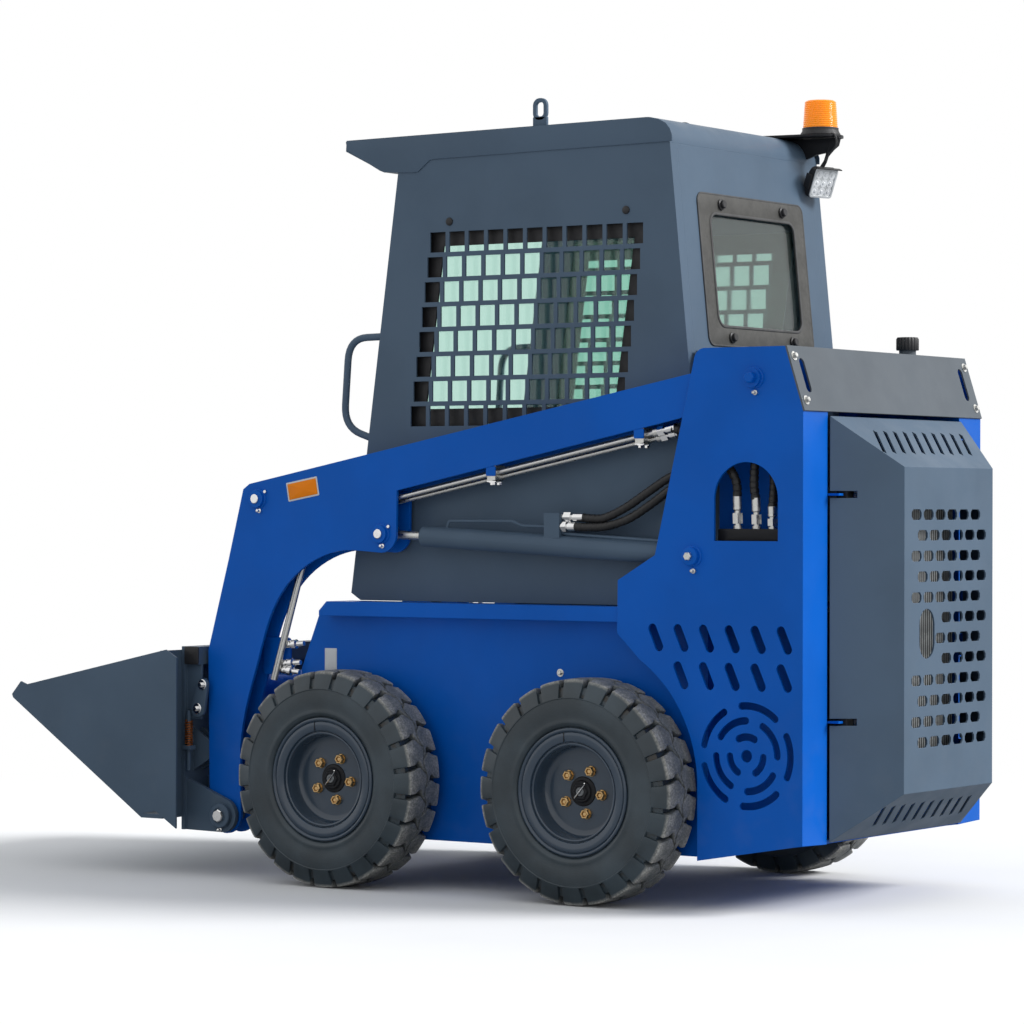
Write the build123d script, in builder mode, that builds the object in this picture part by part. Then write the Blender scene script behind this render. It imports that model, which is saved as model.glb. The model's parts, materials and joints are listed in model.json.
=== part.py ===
"""Small wheeled skid steer loader with a closed cab, parked with its bucket rolled back.

Frame: +Z up from the ground, +Y towards the engine end, +X towards the machine's own left.
The origin is on the ground under the middle of the whole machine, so X = 0 is its plane of symmetry.
Side outlines are drawn in (station, height): station is the distance behind the front axle.
All sizes are in millimetres.
"""
import os
from math import atan, atan2, copysign, cos, degrees, hypot, pi, radians, sin, sqrt

from build123d import *

# Whole machine
FRONT_REACH = 1125.0  # cutting edge ahead of the front axle
WHEELBASE = 807.0
TOWER_REAR = 1427.0  # rear face of the towers behind the front axle
GUARD_GAP = 6.0
GUARD_DEPTH = 153.0
REAR_REACH = TOWER_REAR + GUARD_GAP + GUARD_DEPTH  # guard's face behind the front axle
FRONT_AXLE_Y = (FRONT_REACH - REAR_REACH) / 2

# Wheels: 6.50-10 solid tyre on a dished rim
TYRE_OD = 590.0
TYRE_WIDTH = 156.0
TYRE_CENTRE_X = 530.0
TREAD_HALF = 62.5
LUGS = 24  # on each side, half a pitch apart
LUG_SIDE = 48.0  # height of a lug on the sidewall
GROOVE_DEPTH = 15.0  # at the middle of the tread, deeper towards the side
GROOVE_WIDTH = 14.0
BEAD_TUCK = 12.0  # the beads stand this much inside the widest ring
BEAD_GAP = 0.05
RIM_SEAT_R = 150.0  # where the tyre sits on the rim
RIM_WIDTH = 140.0
RIM_LIP = 9.0  # flange outside the seat
LOCK_RING_R = 137.0
RIM_BARREL_R = 119.0  # inside of the dish
RIM_DISC_DEPTH = 84.0  # wheel disc behind the rim's outer edge
RIM_DISC_T = 10.0
HUB_R = 34.0
HUB_NUT_R = 21.0
HUB_NUT_H = 16.0
HUB_LENGTH = 46.0
WHEEL_STUD_PCD = 115.0
WHEEL_STUDS = 5
WHEEL_NUT_R = 11.0
WHEEL_NUT_H = 16.0
AXLE_TUBE_R = 52.0
AXLE_FLANGE_R = 78.0
AXLE_FLANGE_T = 14.0
WHEEL_GAP = 2.0  # running gap between a hub and its axle flange

# Main frame
CASE_OUT_X = 430.0  # outside of the drive cases beside the foot well
CASE_IN_X = 300.0
FRAME_FRONT = -200.0
FRAME_TOP = 735.0
FRAME_BELLY = 131.0
BELLY_REAR = 176.0  # the bay's floor rises to this at its rear end
ENGINE_BOTTOM = 192.0
ENGINE_HEIGHT = 570.0
ENGINE_LENGTH = 430.0
ENGINE_HALF = 200.0
ENGINE_GAP = 34.0  # from the engine to the rear sill
BEARER_WIDTH = 40.0
FRAME_PLATE = 10.0
CASE_END = 1112.0
SILL_TOP = 330.0

# Fenders: a ledge over the wheels on each side
FENDER_TOP = 774.0
FENDER_OUT_X = 484.0
FENDER_FRONT = -101.0
FENDER_BEVEL = 26.0

# Rear towers that carry the boom
TOWER_X = 492.0  # outer face
TOWER_PLATE = 8.0
TOWER_INNER_X = 373.0  # outer face of the inner plate
TOWER_IN_X = TOWER_INNER_X - TOWER_PLATE
TOWER_TOP = 1442.0
TOWER_RISE = 180.0  # lower end of the rear edge
TOWER_TOP_REAR = TOWER_REAR - 53.0
TOWER_SLOPE_END = 1277.0
TOWER_FOOT = (TOWER_REAR - 309.0, 127.0)
TOWER_CORNER_R = 32.0
WINDOW_R = 94.0  # arched service window
WINDOW_CENTRE = (TOWER_REAR - 166.5, 1055.0)
WINDOW_SILL = 948.0
SLOT_LENGTH = 75.5
SLOT_WIDTH = 25.0
SLOT_PITCH = 76.3
SLOT_LEAN = 66.2
SLOT_ROWS = ((6, 697.5), (5, 601.5))  # how many slots and their height
SLOT_LAST = TOWER_REAR - 53.5
FAN_CENTRE = (TOWER_REAR - 163.0, 401.0)
FAN_HOLE_R = 16.0
FAN_RINGS = ((3, 49.0, 90.0, 56.0), (4, 90.0, 30.0, 57.0), (5, 128.0, 73.0, 47.5))  # arcs, radius, middle, span
FAN_SLOT = 19.0

# Boom
BOOM_PIVOT = (TOWER_REAR - 143.0, 1363.0)
ARM_OUT_X = 479.0
ARM_IN_X = 407.0
ARM_PLATE = 9.0
ARM_END_R = 52.0
ARM_TOP_SLOPE = 0.195
ARM_STEP = (158.0, 1078.0)  # where the deep part of the arm ends
LIFT_PIN = (106.0, 960.0)
TILT_BASE_PIN = (-317.0, 1055.0)
BUCKET_PIN = (-427.0, 170.0)
LEG_END_R = 51.0
BOSS_R = 24.0
PANEL_T = 5.0
PANEL_SLOT_X = 438.0
PANEL_SLOT_LENGTH = 92.0
PANEL_SLOT_WIDTH = 26.0
BOSS_H = 13.0
PIN_END = 4.0  # pins stand out of their bosses
CROSS_TUBE = (-425.0, 520.0)
CROSS_TUBE_R = 45.0

# Hydraulic tubes under each arm and down its leg
TUBE_R = 6.5
TUBE_BEND = 60.0
TUBE_X = (460.0, 442.0)  # outer and inner tube
TUBE_UPPER_END = (968.0, 1227.0)
TUBE_KNEE = (-70.0, 1013.0)
TUBE_LEG = (-172.0, 870.0)
TUBE_LOWER_END = (-270.0, 552.0)
TUBE_SHIFT = (-22.0, -13.0)  # the inner tube's leg and run against the outer one's
TUBE_CLAMPS = (465.0, 930.0)  # stations
CLAMP = (26.0, 38.0, 46.0)
FITTING_R = 12.0
FITTING_LENGTH = 24.0

# Cylinders
PORT_TUBE_R = 4.5
PORT_BLOCK = (48.0, 66.0, 40.0)
PORT_STATION = 650.0
LIFT_BASE_PIN = (TOWER_REAR - 325.0, 908.0)
CYLINDER_X = (ARM_OUT_X + ARM_IN_X) / 2
LIFT_BARREL_R = 28.0
LIFT_BARREL_END = 225.0  # station of the barrel's front end at rest
LIFT_ROD_R = 12.0
TILT_BARREL_R = 23.0
TILT_ROD_R = 10.0
TILT_ARM = 190.0  # bucket pin to tilt rod pin
TILT_ARM_LEAN = 18.7
EYE_R = 25.0
EYE_WIDTH = 40.0
TILT_EYE_R = 20.0
PIN_R = 12.0  # cylinder pins
PIVOT_PIN_R = 18.0  # boom pivot and bucket pins
PIN_GAP = 0.05  # running clearance of a pin in its hole
TILT_EYE_WIDTH = 24.0

# Coupler and bucket
COUPLER_FACE = -567.0
COUPLER_PLATE = 12.0
COUPLER_HALF = 505.0
COUPLER_LOW = 125.0
COUPLER_TOP = 640.0
BEAM = 50.0  # square tube along the plate's top
LATCH_X = 504.0
LATCH_T = 10.0
LATCH_PLATE = 8.0
LATCH_UPPER = (-512.0, 533.0)
LATCH_LOWER = (-522.0, 465.0)
LATCH_EYE_R = 17.0
LATCH_PIN_R = 9.0
LATCH_PIN_END = 6.0
SPRING = (-541.0, 362.0, 433.0)  # station, lower and upper end
SPRING_R = 12.0
SPRING_ROD = 70.0  # below the spring
SPRING_ROD_R = 6.0
EAR_T = 14.0
BUCKET_HALF = 590.0
BUCKET_PLATE = 6.0
BUCKET_EDGE_Z = 493.0

# Cab
CAB_X = 391.0
CAB_WALL = 35.0
CAB_SHEET = 5.0
CAB_BOTTOM = 776.0
CAB_SEAM = 1986.0
CAB_FRONT_FOOT = -59.0
CAB_FRONT_LEAN = 0.136
CAB_REAR_SEAM = 970.0
CAB_REAR_LEAN = 0.103
ROOF_TOP = 2056.0
GRILLE_COLUMNS = 11
GRILLE_ROWS = 8
GRILLE_OPENING_W = 51.0
GRILLE_OPENING_H = 55.0
GRILLE_PITCH_Y = 63.2
GRILLE_PITCH_Z = 67.5
GRILLE_CENTRE = (515.0, 1517.0)

HANDLE = ((60.0, 1535.0), (-83.0, 1386.0), (-99.0, 1290.0), (32.0, 1205.0))
HANDLE_R = 10.0
HANDLE_BEND = 38.0
HANDLE_IN = 30.0  # behind the cab's side
SEAT_EDGE = 28.0
BEACON_PLACE = (-340.0, 1010.0)  # across, and behind the front axle
BEACON_FOOT = 2076.0
BEACON_TOP = 2159.0
BEACON_R = 46.0
BEACON_FLARE = 58.0
BEACON_BASE_H = 24.0
LIGHT_PLACE = (-370.0, 1935.0)
LIGHT_SIZE = 80.0
LIGHT_DEPTH = 45.0
LIGHT_REACH = 1075.0
CAP_PLACE = (-250.0, 1330.0)
CAP_R = 30.0
CAP_NECK_H = 18.0
CAP_TOP = 1494.0

# Rear guard
GUARD_FACE_HALF = 249.0
GUARD_BASE_HALF = 364.0
GUARD_FACE_Z = (303.0, 1138.0)
GUARD_BASE_Z = (181.0, 1267.0)
GUARD_SHEET = 5.0
HOLE_W = 54.0
HOLE_H = 27.0
HOLE_CORNER = 8.0
HOLE_PITCH = 66.2
HOLE_COLUMNS = 6
HOLE_ROWS = 12
HOLE_ROW_PITCH = 53.3
HOLE_TOP_ROW = 1016.0
HOLE_STAGGER = 33.8
HAND_HOLE = (124.5, 709.0)
HAND_HOLE_SIZE = (83.0, 128.5)
LOUVRES = 10
LOUVRE_PITCH = 53.4
LOUVRE_LENGTH = 112.0
LOUVRE_WIDTH = 14.0
LOUVRE_LEAN = 39.0
NOTCH_HEIGHTS = (487.0, 1067.0)
NOTCH_H = 18.0
NOTCH_REACH = 56.0
TAB_T = 6.0
TAB_REACH = 32.0
TAB_W = 24.0
KNUCKLE_R = 11.0
KNUCKLE_LENGTH = 60.0
KNUCKLES = (320.0, 724.0, 1128.0)  # heights of the hinge knuckles' middles
KNUCKLE_GAP = 5.0  # from the knuckles to the tower and from the fixed ones to the guard
HINGE_PIN_R = 5.0
HINGE_X = -(GUARD_BASE_HALF - 2)
HINGE_Y = FRONT_AXLE_Y + TOWER_REAR + KNUCKLE_GAP + KNUCKLE_R


def side_plane(x):
    """Plane parallel to the side of the machine, drawn in station and height."""
    return Plane(origin=(x, FRONT_AXLE_Y, 0), x_dir=(0, 1, 0), z_dir=(1, 0, 0))


def at(x, point):
    """Row position of a point given as (station, height) at a distance x from the middle."""
    return (x, FRONT_AXLE_Y + point[0], point[1])


def save(part, node):
    """Label one finished sub-part and write it."""
    part.label = node
    export_step(part, f"parts/{node}.step")


def save_pair(left, stem):
    """Write a left-hand sub-part and its mirror image."""
    save(left, stem + "_left")
    with BuildPart() as right:
        mirror(left, about=Plane.YZ)
    save(right.part, stem + "_right")


def cab_front(height):
    """Station of the cab's front edge at a height."""
    return CAB_FRONT_FOOT + (height - CAB_BOTTOM - 20) * CAB_FRONT_LEAN


def cab_rear(height):
    """Station of the cab's rear edge at a height."""
    return CAB_REAR_SEAM + (CAB_SEAM - height) * CAB_REAR_LEAN


def round_about(centre, radius, turn):
    """Point at a radius and an angle about a centre."""
    return (centre[0] + radius * cos(turn), centre[1] + radius * sin(turn))


def bar_between(start, end, radius, x):
    """Round bar between two side-view points."""
    run = (end[0] - start[0], end[1] - start[1])
    with BuildPart() as bar:
        with BuildSketch(Plane(origin=at(x, start), x_dir=(1, 0, 0), z_dir=(0, run[0], run[1]))):
            Circle(radius)
        extrude(amount=hypot(*run))
    return bar.part


def bent_tube(points, radius, bend, x):
    """Round tube along side-view points with an even bend radius."""
    with BuildPart() as pipe:
        with BuildLine() as path:
            FilletPolyline(*(at(x, point) for point in points), radius=bend)
        with BuildSketch(Plane(origin=path.line @ 0, z_dir=path.line % 0)):
            Circle(radius)
        sweep()
    return pipe.part


def side_block(centre, size, x):
    """Block centred on a side-view point: length, height and width, standing square."""
    with BuildPart() as block:
        with Locations(at(x, centre)):
            Box(size[2], size[0], size[1])
    return block.part


def round_eye(point, radius, width, x):
    """Round eye with its axis across the machine, centred on x."""
    with BuildPart() as ring:
        with BuildSketch(side_plane(x - width / 2)):
            with Locations(point):
                Circle(radius)
        extrude(amount=width)
    return ring.part


def groove_cutter(sign):
    """Space between two lugs of one row: straight from the side, then bent towards the middle of the tread."""
    outer = TYRE_OD / 2
    half = GROOVE_WIDTH / 2
    bend = 0.22 * pi * TYRE_OD / LUGS
    side = sign * TYRE_WIDTH
    floor = outer - GROOVE_DEPTH
    drop = (LUG_SIDE - GROOVE_DEPTH) / (TYRE_WIDTH / 2)
    with BuildPart() as cutter:
        with BuildSketch(Plane.XY.offset(outer - TYRE_WIDTH / 2)):
            with BuildLine():
                Polyline(
                    (sign * 0.12 * TREAD_HALF, -bend / 2),
                    (sign * 0.55 * TREAD_HALF, -half),
                    (side, -half),
                    (side, half),
                    (sign * 0.30 * TREAD_HALF, bend + half),
                    close=True,
                )
            make_face()
        extrude(amount=TYRE_WIDTH)
        split(bisect_by=Plane(origin=(0, 0, floor), z_dir=(sign * drop, 0, 1)), keep=Keep.TOP)
    return cutter.part


def tyre():
    """Solid tyre centred on the origin, axis X: flat facets, one to a lug, with the grooves cut into them."""
    half = TYRE_WIDTH / 2
    outer = TYRE_OD / 2
    foot = outer - LUG_SIDE
    grooves = []
    for sign, phase in ((1, 0.5), (-1, 0.0)):
        cutter = groove_cutter(sign)
        grooves += [cutter.rotate(Axis.X, (lug + phase) * 360 / LUGS) for lug in range(LUGS)]
    with BuildPart() as ring:
        for x, radius in (
            (-half + BEAD_TUCK, RIM_SEAT_R),
            (-half, foot),
            (-TREAD_HALF, outer),
            (TREAD_HALF, outer),
            (half, foot),
            (half - BEAD_TUCK, RIM_SEAT_R),
        ):
            with BuildSketch(Plane.YZ.offset(x)):
                RegularPolygon(radius, LUGS)
        loft(ruled=True)
        with BuildSketch(Plane.YZ.offset(-half)):
            RegularPolygon(RIM_SEAT_R + BEAD_GAP, LUGS, major_radius=False)
        extrude(amount=TYRE_WIDTH, mode=Mode.SUBTRACT)
        add(grooves, mode=Mode.SUBTRACT)
    return ring.part


def rim():
    """Dished rim with its disc, hub and nuts, outer side towards +X, centred in the tyre."""
    half = RIM_WIDTH / 2
    with BuildPart() as wheel:
        with BuildSketch(Plane.XZ):
            with BuildLine():
                Polyline(
                    (-half, RIM_BARREL_R + 12),
                    (-half, RIM_SEAT_R),
                    (half, RIM_SEAT_R),
                    (half, RIM_SEAT_R + RIM_LIP),
                    (half + 5, RIM_SEAT_R + RIM_LIP - 2),
                    (half + 5, RIM_SEAT_R - 4),
                    (half + 1, RIM_SEAT_R - 6),
                    (half + 1, LOCK_RING_R),
                    (half - 8, LOCK_RING_R - 3),
                    (half - 12, RIM_BARREL_R + 8),
                    (half - 26, RIM_BARREL_R),
                    (half - RIM_DISC_DEPTH, RIM_BARREL_R - 6),
                    (half - RIM_DISC_DEPTH, 0),
                    (half - RIM_DISC_DEPTH - RIM_DISC_T, 0),
                    (half - RIM_DISC_DEPTH - RIM_DISC_T, RIM_BARREL_R),
                    close=True,
                )
            make_face()
        revolve(axis=Axis.X)
        with BuildSketch(Plane.YZ.offset(half - RIM_DISC_DEPTH)):
            Circle(HUB_R)
        extrude(amount=HUB_LENGTH, taper=6)
        with BuildSketch(Plane.YZ.offset(half - RIM_DISC_DEPTH + HUB_LENGTH)):
            RegularPolygon(HUB_NUT_R, 6)
        extrude(amount=HUB_NUT_H)
        with BuildSketch(Plane.YZ.offset(half - RIM_DISC_DEPTH)):
            with PolarLocations(WHEEL_STUD_PCD / 2, WHEEL_STUDS, start_angle=90):
                RegularPolygon(WHEEL_NUT_R, 6)
        extrude(amount=WHEEL_NUT_H)
        with BuildSketch(Plane.YZ.offset(half - RIM_DISC_DEPTH - RIM_DISC_T)):
            Circle(AXLE_FLANGE_R)
        extrude(amount=-AXLE_FLANGE_T)
    return wheel.part


def wheels():
    """Four tyres and four rims, each at its own axle end."""
    plain_tyre = tyre()
    plain_rim = rim()
    for end, station in (("front", 0.0), ("rear", WHEELBASE)):
        for side, sign in (("left", 1), ("right", -1)):
            turn = 0 if sign > 0 else 180
            place = Location((sign * TYRE_CENTRE_X, FRONT_AXLE_Y + station, TYRE_OD / 2), (0, 0, turn))
            with BuildPart() as rubber:
                add(plain_tyre.moved(place))
            save(rubber.part, f"tyre_{end}_{side}")
            with BuildPart() as steel:
                add(plain_rim.moved(place))
            save(steel.part, f"rim_{end}_{side}")


def engine_middle():
    """Station of the engine's middle."""
    return TOWER_REAR - TOWER_PLATE - ENGINE_GAP - ENGINE_LENGTH / 2


def belly_under(station):
    """Height of the underside of the floor below the engine."""
    along = (station - CASE_END) / (TOWER_REAR - TOWER_PLATE - CASE_END)
    return FRAME_BELLY + max(along, 0) * (BELLY_REAR - FRAME_BELLY)


def main_frame():
    """Drive cases, belly, foot-well front and engine bay, welded as one."""
    with BuildPart() as frame:
        case_width = CASE_OUT_X - CASE_IN_X
        for sign in (-1, 1):
            with BuildSketch(side_plane(sign * CASE_OUT_X if sign < 0 else CASE_IN_X)):
                with BuildLine():
                    Polyline(
                        (FRAME_FRONT, FRAME_BELLY + 90),
                        (FRAME_FRONT + 70, FRAME_BELLY),
                        (CASE_END, FRAME_BELLY),
                        (CASE_END, FRAME_TOP),
                        (FRAME_FRONT + 60, FRAME_TOP),
                        (FRAME_FRONT, FRAME_TOP - 150),
                        close=True,
                    )
                make_face()
            extrude(amount=case_width)
        # Belly plate from the front plate to the rear sill
        sill = TOWER_REAR - TOWER_PLATE
        with BuildSketch(side_plane(-CASE_IN_X)):
            with BuildLine():
                Polyline(
                    (FRAME_FRONT, FRAME_TOP - 150),
                    (FRAME_FRONT, FRAME_BELLY + 90),
                    (FRAME_FRONT + 70, FRAME_BELLY),
                    (CASE_END, FRAME_BELLY),
                    (sill, BELLY_REAR),
                    (sill, SILL_TOP),
                    (sill - FRAME_PLATE, SILL_TOP),
                    (sill - FRAME_PLATE, BELLY_REAR + FRAME_PLATE),
                    (CASE_END, FRAME_BELLY + FRAME_PLATE),
                    (FRAME_FRONT + 74, FRAME_BELLY + FRAME_PLATE),
                    (FRAME_FRONT + FRAME_PLATE, FRAME_BELLY + 94),
                    (FRAME_FRONT + FRAME_PLATE, FRAME_TOP - 150),
                    close=True,
                )
            make_face()
        extrude(amount=2 * CASE_IN_X)
        # The same floor carried out to the towers behind the cases
        for x in (-TOWER_IN_X, CASE_IN_X):
            with BuildSketch(side_plane(x)):
                with BuildLine():
                    Polyline(
                        (CASE_END, FRAME_BELLY),
                        (sill, BELLY_REAR),
                        (sill, BELLY_REAR + FRAME_PLATE),
                        (CASE_END, FRAME_BELLY + FRAME_PLATE),
                        close=True,
                    )
                make_face()
            extrude(amount=TOWER_IN_X - CASE_IN_X)
        # Two bearers under the engine
        for station in (engine_middle() - 0.4 * ENGINE_LENGTH, engine_middle() + 0.4 * ENGINE_LENGTH):
            foot = belly_under(station) + FRAME_PLATE / 2
            with BuildSketch(side_plane(-ENGINE_HALF)):
                with Locations((station, (foot + ENGINE_BOTTOM) / 2)):
                    Rectangle(BEARER_WIDTH, ENGINE_BOTTOM - foot)
            extrude(amount=2 * ENGINE_HALF)
    save(frame.part, "main_frame")


def axle_tubes():
    """Four stub axle tubes that stand out of the drive cases."""
    length = TYRE_CENTRE_X + RIM_WIDTH / 2 - RIM_DISC_DEPTH - RIM_DISC_T - AXLE_FLANGE_T - WHEEL_GAP - CASE_OUT_X
    with BuildPart() as tubes:
        for station in (0.0, WHEELBASE):
            for sign in (-1, 1):
                x = CASE_OUT_X if sign > 0 else -CASE_OUT_X - length
                with BuildSketch(side_plane(x)):
                    with Locations((station, TYRE_OD / 2)):
                        Circle(AXLE_TUBE_R)
                extrude(amount=length)
    save(tubes.part, "axle_tubes")


def fenders():
    """Ledge along each side over the wheels, with a bevelled front end."""
    with BuildPart() as ledges:
        for sign in (-1, 1):
            with BuildSketch(side_plane(CASE_OUT_X - 60 if sign > 0 else -FENDER_OUT_X)):
                with BuildLine():
                    Polyline(
                        (FENDER_FRONT + FENDER_BEVEL, FENDER_TOP),
                        (FENDER_FRONT, FENDER_TOP - FENDER_BEVEL),
                        (FENDER_FRONT, FRAME_TOP),
                        (TOWER_FOOT[0] - 20, FRAME_TOP),
                        (TOWER_FOOT[0] - 20, FENDER_TOP),
                        close=True,
                    )
                make_face()
            extrude(amount=FENDER_OUT_X - CASE_OUT_X + 60)
    save(ledges.part, "fenders")


def fan_slots():
    """Rings of arc slots around the fan's centre."""
    with BuildSketch() as slots:
        for count, radius, middle, span in FAN_RINGS:
            for arc in range(count):
                start = radians(middle + arc * 360 / count - span / 2)
                end = start + radians(span)
                for turn in (start, end):
                    with Locations(round_about(FAN_CENTRE, radius, turn)):
                        Circle(FAN_SLOT / 2)
                outside, inside = radius + FAN_SLOT / 2, radius - FAN_SLOT / 2
                half = (start + end) / 2
                with BuildLine():
                    ThreePointArc(*(round_about(FAN_CENTRE, outside, turn) for turn in (start, half, end)))
                    Line(round_about(FAN_CENTRE, outside, end), round_about(FAN_CENTRE, inside, end))
                    ThreePointArc(*(round_about(FAN_CENTRE, inside, turn) for turn in (end, half, start)))
                    Line(round_about(FAN_CENTRE, inside, start), round_about(FAN_CENTRE, outside, start))
                make_face()
    return slots.sketch


def tower():
    """Left-hand channel of outer plate, rear flange and inner plate, open to the front."""
    top_corner = (TOWER_REAR - 290.0, TOWER_TOP)
    front_corner = (TOWER_REAR - 321.0, TOWER_TOP - 28.0)
    arch_start = (TOWER_REAR - 483.0, 638.0)
    with BuildPart() as channel:
        with BuildSketch(side_plane(TOWER_X - TOWER_PLATE)):
            with BuildLine():
                Polyline(
                    (TOWER_FOOT[0], 308.0),
                    TOWER_FOOT,
                    (TOWER_REAR, TOWER_RISE),
                    (TOWER_REAR, TOWER_SLOPE_END),
                    (TOWER_TOP_REAR, TOWER_TOP),
                    top_corner,
                )
                RadiusArc(top_corner, front_corner, -TOWER_CORNER_R)
                Polyline(
                    front_corner,
                    (TOWER_REAR - 438.0, 910.0),
                    (TOWER_REAR - 551.0, 844.0),
                    (TOWER_REAR - 553.0, 706.0),
                    arch_start,
                )
                ThreePointArc(arch_start, (TOWER_FOOT[0] - 50.0, 507.0), (TOWER_FOOT[0], 308.0))
            make_face()
            with Locations(WINDOW_CENTRE):
                Circle(WINDOW_R, mode=Mode.SUBTRACT)
            with Locations((WINDOW_CENTRE[0], (WINDOW_CENTRE[1] + WINDOW_SILL) / 2)):
                Rectangle(2 * WINDOW_R, WINDOW_CENTRE[1] - WINDOW_SILL, mode=Mode.SUBTRACT)
            for count, height in SLOT_ROWS:
                for slot in range(count):
                    with Locations(Location((SLOT_LAST - slot * SLOT_PITCH, height), -SLOT_LEAN)):
                        SlotOverall(SLOT_LENGTH, SLOT_WIDTH, mode=Mode.SUBTRACT)
            with Locations(FAN_CENTRE):
                Circle(FAN_HOLE_R, mode=Mode.SUBTRACT)
            add(fan_slots(), mode=Mode.SUBTRACT)
        extrude(amount=TOWER_PLATE)
        with BuildSketch(side_plane(TOWER_IN_X)):
            with BuildLine():
                Polyline(
                    (CASE_END, FRAME_BELLY),
                    (TOWER_REAR, FRAME_BELLY + 45),
                    (TOWER_REAR, TOWER_SLOPE_END),
                    (TOWER_TOP_REAR, TOWER_TOP),
                    top_corner,
                    (front_corner[0], front_corner[1] - 14.0),
                    (CASE_END, TOWER_TOP - 142.0),
                    close=True,
                )
            make_face()
        extrude(amount=TOWER_PLATE)
        with BuildSketch(Plane.XZ.offset(-(FRONT_AXLE_Y + TOWER_REAR))):
            with BuildLine():
                Polyline(
                    (TOWER_IN_X, TOWER_RISE - 4),
                    (TOWER_X, TOWER_RISE),
                    (TOWER_X, TOWER_SLOPE_END),
                    (TOWER_IN_X, TOWER_SLOPE_END),
                    close=True,
                )
            make_face()
        extrude(amount=TOWER_PLATE)
        # Bosses and pins of the boom pivot and the lift cylinder's base
        for point, pin in ((BOOM_PIVOT, PIVOT_PIN_R), (LIFT_BASE_PIN, PIN_R)):
            with BuildSketch(side_plane(TOWER_X)):
                with Locations(point):
                    Circle(BOSS_R)
            extrude(amount=BOSS_H)
            with BuildSketch(side_plane(TOWER_IN_X)):
                with Locations(point):
                    Circle(pin)
            extrude(amount=TOWER_X - TOWER_IN_X)
    return channel.part


def tower_left(plain):
    """Left tower with the tabs that stand in the guard's notches."""
    with BuildPart() as channel:
        add(plain)
        for height in NOTCH_HEIGHTS:
            with BuildSketch(Plane.XY.offset(height - TAB_T / 2)):
                with Locations((GUARD_BASE_HALF - TAB_W / 2, FRONT_AXLE_Y + TOWER_REAR + TAB_REACH / 2)):
                    Rectangle(TAB_W, TAB_REACH)
            extrude(amount=TAB_T)
    save(channel.part, "tower_left")


def upright(x, y, low, high, radius):
    """Upright round bar."""
    with BuildPart() as bar:
        with BuildSketch(Plane.XY.offset(low)):
            with Locations((x, y)):
                Circle(radius)
        extrude(amount=high - low)
    return bar.part


def tower_right(plain):
    """Mirror image of the left tower with the fixed knuckles and pins of the guard's hinges."""
    flange = FRONT_AXLE_Y + TOWER_REAR
    with BuildPart() as channel:
        mirror(plain, about=Plane.YZ)
        for height in KNUCKLES:
            for side in (-1, 1):
                middle = height + side * KNUCKLE_LENGTH
                low, high = middle - KNUCKLE_LENGTH / 2 + 1, middle + KNUCKLE_LENGTH / 2 - 1
                add(upright(HINGE_X, HINGE_Y, low, high, KNUCKLE_R))
                with BuildSketch(Plane.XY.offset(low)):
                    with Locations((HINGE_X - KNUCKLE_R / 2, (flange + HINGE_Y) / 2)):
                        Rectangle(KNUCKLE_R, HINGE_Y - flange)
                extrude(amount=high - low)
            add(upright(HINGE_X, HINGE_Y, height - KNUCKLE_LENGTH, height + KNUCKLE_LENGTH, HINGE_PIN_R))
    save(channel.part, "tower_right")


def rear_top_panel():
    """Slanted cover across both towers above the guard."""
    run = (TOWER_REAR - TOWER_TOP_REAR, TOWER_SLOPE_END - TOWER_TOP)
    with BuildPart() as panel:
        plane = Plane(origin=at(0, (TOWER_TOP_REAR, TOWER_TOP)), x_dir=(1, 0, 0), z_dir=(0, -run[1], run[0]))
        with BuildSketch(plane):
            with Locations((0, hypot(*run) / 2)):
                Rectangle(2 * TOWER_X, hypot(*run))
            with Locations((-PANEL_SLOT_X, hypot(*run) / 2 - 8), (PANEL_SLOT_X, hypot(*run) / 2 - 8)):
                SlotOverall(PANEL_SLOT_LENGTH, PANEL_SLOT_WIDTH, rotation=90, mode=Mode.SUBTRACT)
        extrude(amount=PANEL_T)
    save(panel.part, "rear_top_panel")


def hood():
    """Flat engine cover between the towers."""
    front = cab_rear(TOWER_TOP) + 8
    with BuildPart() as cover:
        with BuildSketch(Plane.XY.offset(TOWER_TOP - 6)):
            with Locations((0, FRONT_AXLE_Y + (front + TOWER_TOP_REAR) / 2)):
                Rectangle(2 * TOWER_IN_X, TOWER_TOP_REAR - front)
        extrude(amount=6)
    save(cover.part, "hood")


def engine_and_radiator():
    """Engine as one plain block and the radiator behind the rear guard."""
    with BuildPart() as engine:
        with BuildSketch(Plane.XY.offset(ENGINE_BOTTOM)):
            with Locations((0, FRONT_AXLE_Y + engine_middle())):
                Rectangle(2 * ENGINE_HALF, ENGINE_LENGTH)
        extrude(amount=ENGINE_HEIGHT)
    save(engine.part, "engine_block")
    with BuildPart() as core:
        with BuildSketch(Plane.XZ.offset(-(FRONT_AXLE_Y + TOWER_REAR + 60))):
            with Locations((0, (SILL_TOP + 1090) / 2)):
                Rectangle(420, 1090 - SILL_TOP)
        extrude(amount=60 + TOWER_PLATE)
    save(core.part, "radiator")


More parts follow.
